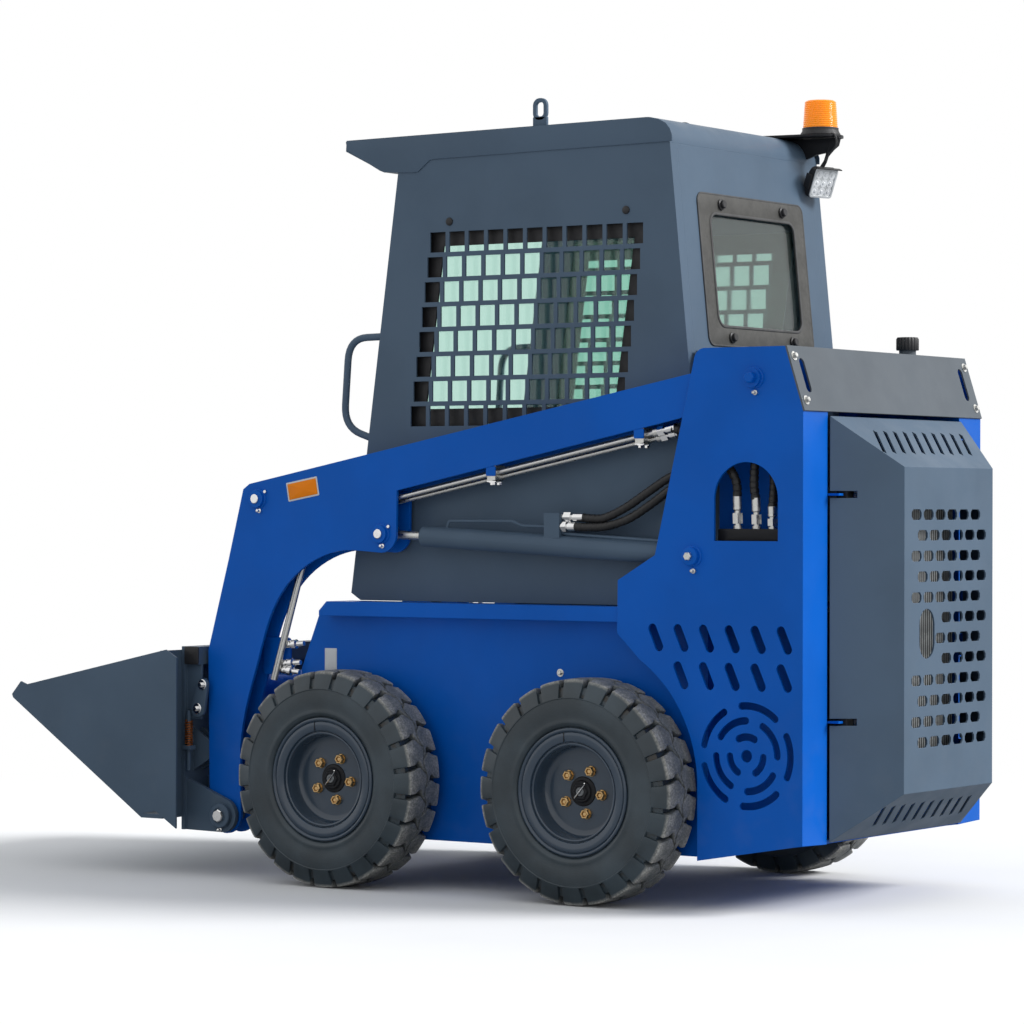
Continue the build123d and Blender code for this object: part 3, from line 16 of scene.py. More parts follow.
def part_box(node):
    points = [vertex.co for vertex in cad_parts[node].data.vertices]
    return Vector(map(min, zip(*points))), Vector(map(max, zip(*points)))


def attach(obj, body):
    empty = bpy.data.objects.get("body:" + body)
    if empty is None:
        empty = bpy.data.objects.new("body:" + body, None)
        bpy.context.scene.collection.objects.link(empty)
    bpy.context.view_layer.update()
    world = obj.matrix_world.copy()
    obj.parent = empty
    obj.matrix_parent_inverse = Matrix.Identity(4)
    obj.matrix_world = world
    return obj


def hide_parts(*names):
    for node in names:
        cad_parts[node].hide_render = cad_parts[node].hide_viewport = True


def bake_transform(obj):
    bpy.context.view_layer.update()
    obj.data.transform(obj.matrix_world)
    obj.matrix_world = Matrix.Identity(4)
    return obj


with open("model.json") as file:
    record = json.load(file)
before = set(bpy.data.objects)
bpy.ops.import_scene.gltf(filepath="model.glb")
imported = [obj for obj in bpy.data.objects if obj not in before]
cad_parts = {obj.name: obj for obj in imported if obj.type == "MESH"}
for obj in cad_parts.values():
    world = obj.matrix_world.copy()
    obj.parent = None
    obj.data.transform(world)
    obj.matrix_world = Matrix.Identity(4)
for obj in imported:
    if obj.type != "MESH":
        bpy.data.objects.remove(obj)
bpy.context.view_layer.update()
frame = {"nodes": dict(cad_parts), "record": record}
NODES = frame["nodes"]

# Places taken from the frame
TYRE_LOW, TYRE_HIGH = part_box("tyre_front_left")
AXLE_Y = (TYRE_LOW.y + TYRE_HIGH.y) / 2
AXLE_Z = (TYRE_LOW.z + TYRE_HIGH.z) / 2
TYRE_R = (TYRE_HIGH.z - TYRE_LOW.z) / 2
TYRE_X = (TYRE_LOW.x + TYRE_HIGH.x) / 2
REAR_AXLE_Y = sum(corner.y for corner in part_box("tyre_rear_left")) / 2
MM = 0.001
ACROSS, ALONG, UP = np.eye(3)
HANDS = (("left", 1), ("right", -1))
WHEELS = [(end, hand) for end in ("front", "rear") for hand in ("left", "right")]


def at(x, station, height):
    """Point in metres of a place in millimetres: across, behind the front axle and above the ground."""
    return np.array([x, AXLE_Y / MM + station, height]) * MM


# Camera of the photograph, fitted to the wheels, towers, guard and cab
CAMERA_PLACE = (8.62786, 5.79055, 1.03134)
CAMERA_AZIMUTH = 123.948
CAMERA_PITCH = 0.064
CAMERA_ROLL = 0.110
CAMERA_LENS = 130.09
CAMERA_SENSOR = 36.0


def camera():
    """Camera looking along its azimuth and pitch, turned by its roll about the line of sight."""
    azimuth, pitch, roll = radians(CAMERA_AZIMUTH), radians(CAMERA_PITCH), radians(CAMERA_ROLL)
    back = Vector((sin(azimuth) * cos(pitch), -cos(azimuth) * cos(pitch), sin(pitch)))
    level = (-back).cross(Vector((0, 0, 1))).normalized()
    upright = level.cross(-back)
    right = level * cos(roll) + upright * sin(roll)
    up = upright * cos(roll) - level * sin(roll)
    lens = bpy.data.cameras.new("camera")
    lens.lens = CAMERA_LENS
    lens.sensor_width = CAMERA_SENSOR
    lens.clip_end = 200
    eye = bpy.data.objects.new("camera", lens)
    turn = Matrix((right, up, back)).transposed().to_4x4()
    eye.matrix_world = Matrix.Translation(CAMERA_PLACE) @ turn
    bpy.context.scene.collection.objects.link(eye)
    bpy.context.scene.camera = eye
    bpy.context.scene.view_settings.view_transform = "Standard"


camera()


# Finishes
class Wiring:
    """Short calls that build a tree of shader nodes."""

    def __init__(self, tree):
        self.tree = tree

    def add(self, kind, values=(), **settings):
        """New node with its settings; values fill its input sockets in order, None leaves one alone."""
        node = self.tree.nodes.new("ShaderNode" + kind)
        for key, value in settings.items():
            setattr(node, key, value)
        for socket, value in zip(node.inputs, values):
            self.fill(socket, value)
        return node

    def fill(self, socket, value):
        """Give a socket a value or link it to another node's output."""
        if isinstance(value, bpy.types.NodeSocket):
            self.tree.links.new(value, socket)
        elif value is not None:
            socket.default_value = value

    def sum(self, kind, a, b):
        """Arithmetic on two values."""
        return self.add("Math", (a, b), operation=kind).outputs[0]

    def end(self, node, output):
        """Make a shader node the result of the tree."""
        self.fill(self.tree.nodes[output].inputs["Surface"], node.outputs[0])


class Finish(Wiring):
    """One material: a shader with constant values and short calls for its patterns."""

    def __init__(self, name, colour, rough, **shader):
        self.material = bpy.data.materials.new(name)
        self.material.use_nodes = True
        super().__init__(self.material.node_tree)
        self.shader = self.tree.nodes["Principled BSDF"]
        self.shader.inputs["Base Color"].default_value = (*colour, 1)
        self.shader.inputs["Roughness"].default_value = rough
        for socket, value in shader.items():
            self.shader.inputs[socket.replace("_", " ")].default_value = value
        self.place = self.tree.nodes.new("ShaderNodeTexCoord").outputs["Object"]

    def noise(self, scale, detail):
        """Cloudy pattern from 0 to 1."""
        node = self.add("TexNoise", normalize=True)
        self.fill(node.inputs["Vector"], self.place)
        self.fill(node.inputs["Scale"], scale)
        self.fill(node.inputs["Detail"], detail)
        return node.outputs[0]

    def band(self, value, low, high, start=0.0, end=1.0):
        """Smooth step of a value between two limits."""
        node = self.add("MapRange", (value, low, high, start, end), interpolation_type="SMOOTHSTEP")
        return node.outputs[0]

    def height(self):
        """Height above the ground."""
        return self.add("SeparateXYZ", (self.place,)).outputs[2]

    def attribute(self, name):
        """A number stored on the mesh."""
        return self.add("Attribute", attribute_name=name).outputs["Fac"]

    def tint(self, factor, under, over):
        """Colour under, covered by colour over where factor is 1."""
        node = self.add("Mix", data_type="RGBA")
        for socket, value in ((0, factor), (6, under), (7, over)):
            self.fill(node.inputs[socket], value)
        return node.outputs[2]

    def edges(self, radius):
        """1 along the edges of the form and 0 on its flats, and the normal softened there."""
        soft = self.add("Bevel", (radius,), samples=4).outputs[0]
        sharp = self.add("NewGeometry").outputs["Normal"]
        along = self.add("VectorMath", (soft, sharp), operation="DOT_PRODUCT").outputs["Value"]
        return self.band(along, 0.995, 0.9), soft

    def colour(self, value):
        """Base colour of the shader."""
        self.fill(self.shader.inputs["Base Color"], value)

    def rough(self, value):
        """Roughness of the shader."""
        self.fill(self.shader.inputs["Roughness"], value)

    def relief(self, height, distance, under=None):
        """Bump of a height pattern, up to a distance in metres."""
        node = self.add("Bump")
        self.fill(node.inputs["Distance"], distance)
        self.fill(node.inputs["Height"], height)
        self.fill(node.inputs["Normal"], under)
        self.fill(self.shader.inputs["Normal"], node.outputs[0])


def shade(colour, factor):
    """Colour made lighter or darker."""
    return (*(min(part * factor, 1.0) for part in colour), 1)


DUST = (0.30, 0.28, 0.25, 1)
DUST_SHARE = 0.04
DUST_HEIGHTS = (0.75, 0.05)
# radius of the edge mask for rubbed wear and painted edge highlight, and of the softened normal
EDGE_WEAR_AND_HIGHLIGHT = 0.0022
TREAD_WORN = (0.30, 0.295, 0.272, 1), (0.60, 0.585, 0.54, 1)
# dark brown for the hollows between the blocks: painted shade
HOLLOW_SHADE = (0.034, 0.030, 0.025, 1)


def enamel(name, colour, rough, worn=0.35, coat=0.0, gloss=0.16):
    """Sprayed enamel: uneven gloss, orange peel, edges lightened by up to worn as rubbed wear and
    painted highlight, and a little dust low down.
    """
    paint = Finish(name, colour, rough, Coat_Weight=coat, Coat_Roughness=0.10, Specular_IOR_Level=gloss)
    cloud = paint.noise(3.5, 6)
    body = paint.tint(paint.band(cloud, 0.35, 0.65), shade(colour, 0.94), shade(colour, 1.05))
    edge, soft = paint.edges(EDGE_WEAR_AND_HIGHLIGHT)
    # edges lightened to 1.8 times the colour and broken by noise: partly rubbed paint, partly a painted
    # highlight
    worn_and_lit_edges = paint.sum("MULTIPLY", edge, paint.band(paint.noise(38, 5), 0.42, 0.6, 0.15, worn))
    body = paint.tint(worn_and_lit_edges, body, shade(colour, 1.8))
    low = paint.band(paint.height(), *DUST_HEIGHTS)
    specks = paint.band(paint.noise(16, 9), 0.46, 0.72)
    settled = paint.sum("MULTIPLY", paint.sum("MULTIPLY", low, specks), DUST_SHARE)
    paint.colour(paint.tint(settled, body, DUST))
    paint.rough(paint.band(paint.noise(11, 5), 0.3, 0.7, rough * 0.85, rough * 1.2))
    paint.relief(paint.noise(420, 2), 0.00008, soft)
    return paint.material


def fins(name, colour, pitch):
    """Upright bright fins with painted shade in the gaps between them: bands of equal pitch across."""
    core = Finish(name, colour, 0.5, Metallic=0.6)
    across = core.add("SeparateXYZ", (core.place,)).outputs["X"]
    wave = core.sum("SINE", core.sum("MULTIPLY", across, 2 * pi / pitch), 0)
    # gaps between the fins at 8 percent of the colour: painted shade
    core.colour(core.tint(core.band(wave, -0.3, 0.4), shade(colour, 0.08), (*colour, 1)))
    return core.material


def metal(name, colour, rough, stain=0.3):
    """Plated or machined metal with fine grain and dull stains."""
    steel = Finish(name, colour, rough, Metallic=1.0)
    spots = steel.band(steel.noise(60, 6), 0.5, 0.78, 0, stain)
    steel.colour(steel.tint(spots, (*colour, 1), shade(colour, 0.35)))
    steel.rough(steel.band(steel.noise(140, 4), 0.3, 0.7, rough * 0.75, rough * 1.3))
    steel.relief(steel.noise(600, 3), 0.00002)
    return steel.material


def moulded(name, colour, rough, relief=0.00015):
    """Moulded plastic or paintwork with a fine texture."""
    plastic = Finish(name, colour, rough, Specular_IOR_Level=0.4)
    cloud = plastic.band(plastic.noise(24, 5), 0.3, 0.7)
    plastic.colour(plastic.tint(cloud, shade(colour, 0.85), shade(colour, 1.2)))
    plastic.rough(plastic.band(plastic.noise(80, 3), 0.3, 0.7, rough * 0.85, rough * 1.15))
    plastic.relief(plastic.noise(900, 2), relief)
    return plastic.material


def tyre_rubber(name, colour, rough):
    """Black rubber, its running faces scuffed to a brownish grey and its hollows darkened to a dark
    brown by painted shade.
    """
    rubber = Finish(name, colour, rough, Specular_IOR_Level=0.45)
    tread = rubber.attribute("tread")
    scuffs = rubber.band(rubber.noise(34, 9), 0.3, 0.72, 0.55, 1.0)
    fine = rubber.band(rubber.noise(190, 6), 0.35, 0.7)
    worn = rubber.tint(fine, *TREAD_WORN)
    cloud = rubber.band(rubber.noise(7, 6), 0.3, 0.7)
    body = rubber.tint(cloud, shade(colour, 0.75), shade(colour, 1.35))
    body = rubber.tint(rubber.sum("MULTIPLY", tread, scuffs), body, worn)
    # hollows darkened below the rubber's own colour in noisy patches: painted shade
    hollow_shade_patches = rubber.band(rubber.noise(48, 6), 0.42, 0.7)
    hollow = rubber.sum("MULTIPLY", rubber.attribute("hollow"), hollow_shade_patches)
    rubber.colour(rubber.tint(hollow, body, HOLLOW_SHADE))
    rubber.rough(rubber.band(tread, 0, 1, 0.38, 0.75))
    rubber.relief(rubber.noise(260, 6), 0.0004)
    return rubber.material


def glass(name, colour, rough, transmission=0.96, painted_glow=0.0):
    """Tinted pane with faint smears, and a painted glow where one is given."""
    pane = Finish(name, colour, rough, Transmission_Weight=transmission, IOR=1.45,
                  Emission_Color=(*colour, 1), Emission_Strength=painted_glow)
    pane.rough(pane.band(pane.noise(9, 5), 0.45, 0.8, rough, rough + 0.06))
    return pane.material


# Finishes: how each is made, its name, colour and roughness, and what else its function takes
FINISH_TABLE = (
    (enamel, "blue_paint", (0.0, 0.112, 0.54), 0.38),
    (enamel, "grey_paint", (0.086, 0.130, 0.186), 0.42),
    (enamel, "panel_grey", (0.105, 0.122, 0.140), 0.5),
    (enamel, "plate_white", (0.72, 0.74, 0.76), 0.4, 0.0),
    (enamel, "plate_orange", (1.0, 0.27, 0.006), 0.4, 0.0),
    (moulded, "amber_paint", (1.0, 0.42, 0.03), 0.35),
    (moulded, "lamp_grey", (0.58, 0.60, 0.61), 0.25),
    (moulded, "lamp_white", (0.80, 0.82, 0.84), 0.2),
    (enamel, "rim_grey", (0.036, 0.060, 0.092), 0.2, 0.35, 0.4, 0.4),
    (tyre_rubber, "rubber", (0.037, 0.053, 0.065), 0.52),
    (metal, "steel", (0.60, 0.60, 0.58), 0.34, 0.12),
    (metal, "worn_steel", (0.16, 0.17, 0.18), 0.4),
    (metal, "chrome", (0.78, 0.78, 0.78), 0.12, 0.1),
    (metal, "brass", (0.62, 0.42, 0.2), 0.32),
    (metal, "rust", (0.36, 0.13, 0.04), 0.7),
    (enamel, "black_steel", (0.016, 0.017, 0.02), 0.36, 0.3),
    (glass, "green_glass", (0.50, 0.76, 0.67), 0.02),
    (glass, "smoke_glass", (0.52, 0.62, 0.59), 0.03),
    # the amber dome glows at 0.28: a painted glow that brightens its colour
    (glass, "amber", (1.0, 0.31, 0.004), 0.16, 0.2, 0.28),
    (moulded, "black_plastic", (0.018, 0.018, 0.02), 0.5),
    (moulded, "frame_brown", (0.050, 0.049, 0.045), 0.5),
    (moulded, "gasket", (0.055, 0.055, 0.056), 0.6),
    (moulded, "seat_cover", (0.022, 0.022, 0.026), 0.55, 0.0005),
    (moulded, "hose", (0.014, 0.014, 0.015), 0.42),
    (moulded, "engine_iron", (0.045, 0.047, 0.05), 0.6, 0.0006),
    (fins, "radiator_fins", (0.66, 0.68, 0.68), 0.011),
)
FINISHES = {name: make(name, *values) for make, name, *values in FINISH_TABLE}


def finish_nodes():
    """Give every CAD node the finish of its record slot."""
    for subpart in frame["record"]["subparts"]:
        mesh = NODES[subpart["node"]].data
        mesh.materials.clear()
        mesh.materials.append(FINISHES[subpart["material_slot"]])


finish_nodes()


def new_piece(name, mesh, finish, body, smooth=True):
    """Object of a finished mesh that rides on a body, with faces shaded smooth up to 35 degrees."""
    if smooth:
        mesh.shade_smooth()
        mesh.set_sharp_from_angle(angle=radians(35))
    mesh.materials.append(FINISHES[finish])
    piece = bpy.data.objects.new(name, mesh)
    bpy.context.scene.collection.objects.link(piece)
    if body:
        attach(piece, body)
    return piece


def grid_faces(rows, columns, close_rows, close_columns, start=0):
    """Corner numbers of the quads of a grid whose points run row by row."""
    row = np.arange(rows if close_rows else rows - 1)[:, None]
    column = np.arange(columns if close_columns else columns - 1)[None, :]
    next_row, next_column = (row + 1) % rows, (column + 1) % columns
    corners = (row * columns + column, next_row * columns + column,
               next_row * columns + next_column, row * columns + next_column)
    return np.stack([np.broadcast_to(c, (row.size, column.size)).ravel() for c in corners], 1) + start


def mesh_of(name, grids, attributes=None):
    """Mesh of grids, each (points, close_rows, close_columns), with numbers stored on the points."""
    points, faces, start = [], [], 0
    for grid, close_rows, close_columns in grids:
        rows, columns = grid.shape[:2]
        points.append(grid.reshape(-1, 3))
        faces.append(grid_faces(rows, columns, close_rows, close_columns, start))
        start += rows * columns
    points, faces = np.concatenate(points), np.concatenate(faces)
    mesh = bpy.data.meshes.new(name)
    mesh.vertices.add(len(points))
    mesh.vertices.foreach_set("co", points.astype(np.float32).ravel())
    mesh.loops.add(faces.size)
    mesh.loops.foreach_set("vertex_index", faces.astype(np.int32).ravel())
    mesh.polygons.add(len(faces))
    mesh.polygons.foreach_set("loop_start", np.arange(0, faces.size, 4, dtype=np.int32))
    mesh.update(calc_edges=True)
    for key, values in (attributes or {}).items():
        stored = mesh.attributes.new(key, "FLOAT", "POINT")
        stored.data.foreach_set("value", values.astype(np.float32).ravel())
    mesh.validate()
    return mesh


def solid(name, grids, finish, body, smooth=True):
    """Piece made of closed grids: their seams and poles are joined and every face turned outwards."""
    mesh = mesh_of(name, grids)
    shell = bmesh.new()
    shell.from_mesh(mesh)
    bmesh.ops.remove_doubles(shell, verts=shell.verts, dist=1e-6)
    bmesh.ops.recalc_face_normals(shell, faces=shell.faces)
    shell.to_mesh(mesh)
    shell.free()
    return new_piece(name, mesh, finish, body, smooth)


def around(profile, turns, centre, side=1, start=0.0):
    """Closed grid: each (x, r) of a profile turned about the axis X through centre.

    A point is centre + (side * x, r cos a, r sin a) for equal steps of the angle a.
    """
    angle = start + np.arange(turns) * 2 * pi / turns
    x = np.broadcast_to(profile[:, 0], (turns, len(profile)))
    r = profile[:, 1]
    grid = np.stack([side * x, np.outer(np.cos(angle), r), np.outer(np.sin(angle), r)], 2)
    return (grid if side > 0 else grid[::-1]) + np.array(centre)


def square_to(axis):
    """Unit vector along an axis and two more that are square to it and to each other."""
    along = np.array(axis, float) / np.linalg.norm(axis)
    side = np.cross(along, (0, 0, 1) if abs(along[2]) < 0.9 else (1, 0, 0))
    side /= np.linalg.norm(side)
    return along, side, np.cross(along, side)


def lathe(profile, base, axis, turns=32, flutes=0, depth=0.0):
    """Grid of a profile of (r, h) in millimetres turned about an axis through base.

    A point is base + h * axis + r * (1 + depth cos(flutes a)) * (cos a * u + sin a * v),
    where u and v are square to the axis. A profile that starts or ends off the axis gets a flat end.
    """
    foot, top = profile[0], profile[-1]
    profile = [(0, foot[1])] * (foot[0] > 0) + [*profile] + [(0, top[1])] * (top[0] > 0)
    along, side, other = square_to(axis)
    angle = np.arange(turns) * 2 * pi / turns
    ring = np.outer(np.cos(angle), side) + np.outer(np.sin(angle), other)
    r, h = np.array(profile, float).T * MM
    reach = r[:, None] * (1 + depth * np.cos(flutes * angle))
    return np.array(base) + h[:, None, None] * along + reach[:, :, None] * ring, False, True


def curve(points, count=10):
    """Smooth route through points: a cubic between each pair, with slopes from the neighbours."""
    p = np.array(points, float)
    p = np.concatenate([[2 * p[0] - p[1]], p, [2 * p[-1] - p[-2]]])
    t = np.linspace(0, 1, count, endpoint=False)[:, None]
    spans = [0.5 * (2 * b + (c - a) * t + (2 * a - 5 * b + 4 * c - d) * t**2
                    + (3 * b - 3 * c + d - a) * t**3)
             for a, b, c, d in zip(p, p[1:], p[2:], p[3:])]
    return np.concatenate([*spans, p[-2:-1]])


def carried(route, radius, sides=14):
    """Grid of a circle carried square along a route with the least turn, and closed at its ends."""
    ahead = np.gradient(route, axis=0)
    ahead /= np.linalg.norm(ahead, axis=1)[:, None]
    side = [square_to(ahead[0])[1]]
    for direction in ahead[1:]:
        turned = side[-1] - direction * (side[-1] @ direction)
        side.append(turned / np.linalg.norm(turned))
    side = np.array(side)
    other = np.cross(ahead, side)
    angle = np.arange(sides) * 2 * pi / sides
    reach = np.broadcast_to(np.asarray(radius, float), (len(route),))[:, None, None] * MM
    ring = np.cos(angle)[None, :, None] * side[:, None] + np.sin(angle)[None, :, None] * other[:, None]
    grid = route[:, None] + reach * ring
    ends = [np.repeat(route[end][None, None], sides, 1) for end in (0, -1)]
    return np.concatenate([ends[0], grid, ends[1]]), False, True


WRAP_LAP = 0.016


def hose(points, radius, wrap):
    """Hose along points; a wrap stands out of it as rings, three quarters of each lap wide."""
    route = curve(points, 24)
    run = np.concatenate([[0], np.cumsum(np.linalg.norm(np.diff(route, axis=0), axis=1))])
    return carried(route, radius + wrap * (((run / WRAP_LAP) % 1) > 0.25), 16)


def rounded(width, height, corner, steps=6):
    """Outline of a rounded rectangle about the origin, anticlockwise, in millimetres."""
    turn = np.linspace(0, pi / 2, steps)
    parts = [
        np.stack([sx * (width / 2 - corner) + corner * np.cos(turn + quarter * pi / 2),
                  sy * (height / 2 - corner) + corner * np.sin(turn + quarter * pi / 2)], 1)
        for quarter, (sx, sy) in enumerate(((1, 1), (-1, 1), (-1, -1), (1, -1)))
    ]
    return np.concatenate(parts)


def drawn_in(outline, inset):
    """Outline moved inwards by an even distance along the halved angle of each corner."""
    edge = np.roll(outline, -1, 0) - outline
    length = np.maximum(np.linalg.norm(edge, axis=1), 1e-9)[:, None]
    normal = np.stack([-edge[:, 1], edge[:, 0]], 1) / length
    before = np.roll(normal, 1, 0)
    return outline + inset * (before + normal) / (1 + np.sum(before * normal, 1))[:, None]


def placed(loop, height, plane):
    """Points of a flat loop on a plane given as its origin and its three axes, raised by a height."""
    origin, across, up, out = plane
    return origin + (loop[:, :1] * across + loop[:, 1:] * up + height * out) * MM


def slab(outline, thick, edge, plane, middle=None):
    """Plate whose edge is rounded off towards its outer face by a quarter circle.

    Each face is a fan about a middle, which is given where the outline's mean doesn't see every corner.
    """
    turn = np.linspace(0, pi / 2, 4)
    centre = np.broadcast_to(outline.mean(0) if middle is None else middle, outline.shape)
    loops = [placed(centre, 0, plane), placed(outline, 0, plane)]
    loops += [placed(drawn_in(outline, edge * (1 - np.cos(a))), thick - edge + edge * np.sin(a), plane)
              for a in turn]
    loops.append(placed(centre, thick, plane))
    return np.array(loops), False, True


def frame_of(outer, inner, thick, edge, plane):
    """Flat frame between two outlines of as many points, its two upper edges rounded off."""
    turn = np.linspace(0, pi / 2, 4)
    fall = edge * (1 - np.cos(turn))
    rise = thick - edge + edge * np.sin(turn)
    loops = [placed(outer, 0, plane)]
    loops += [placed(drawn_in(outer, d), h, plane) for d, h in zip(fall, rise)]
    loops += [placed(drawn_in(inner, -d), h, plane) for d, h in zip(fall[::-1], rise[::-1])]
    loops.append(placed(inner, 0, plane))
    return np.array(loops), True, True


def ring(outline, band, thick, edge, plane):
    """Flat frame of an even band along an outline."""
    return frame_of(outline, drawn_in(outline, band), thick, edge, plane)


def facing(origin, out, up=(0, 0, 1)):
    """Plane with its origin and its axes: across, up and out."""
    out = np.array(out, float) / np.linalg.norm(out)
    across = np.cross(up, out)
    across /= np.linalg.norm(across)
    return np.array(origin), across, np.cross(out, across), out


WASHER_T = 1.6
NIPPLE = [(6.5, 0), (6.5, 6), (3.4, 7), (3, 12), (4.4, 13.5), (4.4, 16), (2, 18)]


def side_view(x, side, middle=(0, 0), lean=0):
    """Plane of a side view at a distance x, its origin at (station, height), leaning by degrees."""
    turn = radians(lean)
    along, up = ALONG * cos(turn) + UP * sin(turn), UP * cos(turn) - ALONG * sin(turn)
    return at(side * x, *middle), along, up, side * ACROSS


def hex_bolt(place, axis, size, washer=True):
    """Hexagon head with its chamfer and the washer under it; size is across the flats in mm."""
    corner = size / 2 / cos(pi / 6)
    head = [(corner, 0), (corner, 0.5 * size), (0.47 * size, 0.62 * size)]
    lift = np.array(axis, float) / np.linalg.norm(axis) * (WASHER_T * MM if washer else 0)
    grids = [lathe(head, place + lift, axis, 6)]
    if washer:
        grids.append(lathe([(0.95 * size, 0), (0.95 * size, WASHER_T)], place, axis, 24))
    return grids


def round_head(place, axis, radius, height):
    """Domed screw head."""
    turn = np.linspace(0, pi / 2, 6)
    dome = [(radius * cos(a), height * (0.35 + 0.65 * sin(a))) for a in turn[:-1]]
    return lathe([(radius, 0), *dome, (0, height)], place, axis, 24)


def nipple(place, axis):
    """Grease nipple: hexagon, neck and ball."""
    return lathe(NIPPLE, place, axis, 12)


def fitting(start, end, radius):
    """Hydraulic hose fitting: crimped sleeve, neck and hexagon nut, from the hose towards its seat."""
    start, end = np.array(start), np.array(end)
    length = np.linalg.norm(end - start) / MM
    ahead = (end - start) / np.linalg.norm(end - start)
    neck = 0.72 * radius
    sleeve = [(radius, 0), (radius, 0.42 * length), (neck, 0.45 * length), (neck, length)]
    nut = [(1.25 * radius, 0), (1.25 * radius, 0.3 * length)]
    seat = [(radius, 0), (radius, 0.13 * length)]
    return [lathe(sleeve, start, ahead, 20), lathe(nut, start + ahead * 0.52 * length * MM, ahead, 6),
            lathe(seat, start + ahead * 0.87 * length * MM, ahead, 16)]


# Tyre: two rings of interlocking blocks on one core, in metres
LUGS = 24
TREAD_HALF = 0.0625
WALL_HALF = 0.078
BLOCK_DEPTH = 0.020
BLOCK_FOOT_R = 0.248
BEAD_R = 0.150
BLOCK_ACROSS = (0, 0, 0, 0.1, 0.25, 0.4, 0.55, 0.7, 0.84, 0.95, 1.0)
CROWN_FALL = 0.0025
MIDDLE_FALL = 0.0015
SHOULDER_FALL = 0.0045
SHOULDER_STEP = 0.0006
EDGE_FALL = 0.0004
SLIT_DEPTH = 0.012
FLOOR_STEP = 0.002
HOLLOW_IN = 0.004
HOLLOW_SIDE_IN = 0.008
HOLLOW_SIDE_DEPTH = 0.021
SIDE_WALL = [
    (0.0785, 0.2465), (0.0785, 0.2445), (0.0768, 0.2430), (0.0772, 0.236), (0.0776, 0.226),
    (0.0774, 0.214), (0.0766, 0.203), (0.0756, 0.194), (0.0758, 0.187), (0.0770, 0.181),
    (0.0766, 0.180), (0.0740, 0.1750), (0.0700, 0.1712), (0.0660, 0.1690), (0.0655, BEAD_R),
    (0.0, BEAD_R),
]
CORE_HALF = 0.02
CORE_DEPTH = 0.026
CORE_R = 0.2
CORE_TURNS = 96
# Places across the tread with the hollow's shift there, half its width and the wear; shares of a block
HOOK = (0.0, 0.30, 0.60, 1.0, 2.0), (-0.20, 0.20, 0.05, 0.0, -0.03)
HOLLOW_HALF = (0.0, 0.12, 0.32, 0.55, 1.0, 2.0), (0.02, 0.055, 0.125, 0.085, 0.105, 0.125)
WEAR = (0, 0.5, 0.95, 1.0, 1.01), (0.45, 0.5, 1.0, 1.0, 0.0)
HOLLOW_SLOPE = 0.022
BLOCK_EDGE = 0.045
BLOCK_SHARES = (0, 0, 0.90, 1, 1, 1, 1, 1, 0.90, 0)
WALL_ACROSS = 1.3
ROW_GAP = 0.0022
ZIGZAG = 0.018
ZIGZAG_TURN = 0.34


def tread_profiles():
    """Outer profile over a block and over the hollow beside it, as (x, r) from the middle to the bead.

    Both have the same number of points, so a point between them is a share of each.
    """
    x = np.array(BLOCK_ACROSS) * TREAD_HALF
    crown = TYRE_R - CROWN_FALL * (x / TREAD_HALF) ** 2
    crown[0:2] = TYRE_R - BLOCK_DEPTH - SLIT_DEPTH, TYRE_R - MIDDLE_FALL
    crown[-1] -= EDGE_FALL
    fall = np.linspace(0, 1, 7)[1:]
    side_x = TREAD_HALF + SHOULDER_STEP + (WALL_HALF - TREAD_HALF - SHOULDER_STEP) * fall
    side_r = TYRE_R - SHOULDER_FALL - (TYRE_R - SHOULDER_FALL - BLOCK_FOOT_R) * fall
    block = np.stack([np.append(x, side_x), np.append(crown, side_r)], 1)
    floor_r = np.where(x < 0.8 * TREAD_HALF, TYRE_R - BLOCK_DEPTH, TYRE_R - BLOCK_DEPTH - FLOOR_STEP)
    floor_r[0] = crown[0]
    slope_x = TREAD_HALF - HOLLOW_IN + (WALL_HALF - HOLLOW_SIDE_IN - TREAD_HALF + HOLLOW_IN) * fall**0.6
    slope_r = TYRE_R - HOLLOW_SIDE_DEPTH - (TYRE_R - HOLLOW_SIDE_DEPTH - BLOCK_FOOT_R) * fall**1.2
    hollow = np.stack([np.append(x, slope_x), np.append(floor_r, slope_r)], 1)
    return np.concatenate([block, SIDE_WALL]), np.concatenate([hollow, SIDE_WALL]), len(block)


def tread_columns(across):
    """Angles of a block's grid lines, in blocks, and their share of height, at a place across.

    The hollow between two blocks bends towards the middle of the tread like a hook: its middle line is
    shifted by a smooth step there, and its width narrows to a slit where it meets the other row.
    """
    bend = np.interp(across, *HOOK)
    half = np.interp(across, *HOLLOW_HALF)
    left, right = bend + half, 1 + bend - half
    inner = np.linspace(left + BLOCK_EDGE, right - BLOCK_EDGE, 5)
    lines = np.array([bend, left - HOLLOW_SLOPE, left, *inner, right, right + HOLLOW_SLOPE])
    return lines, np.array(BLOCK_SHARES)


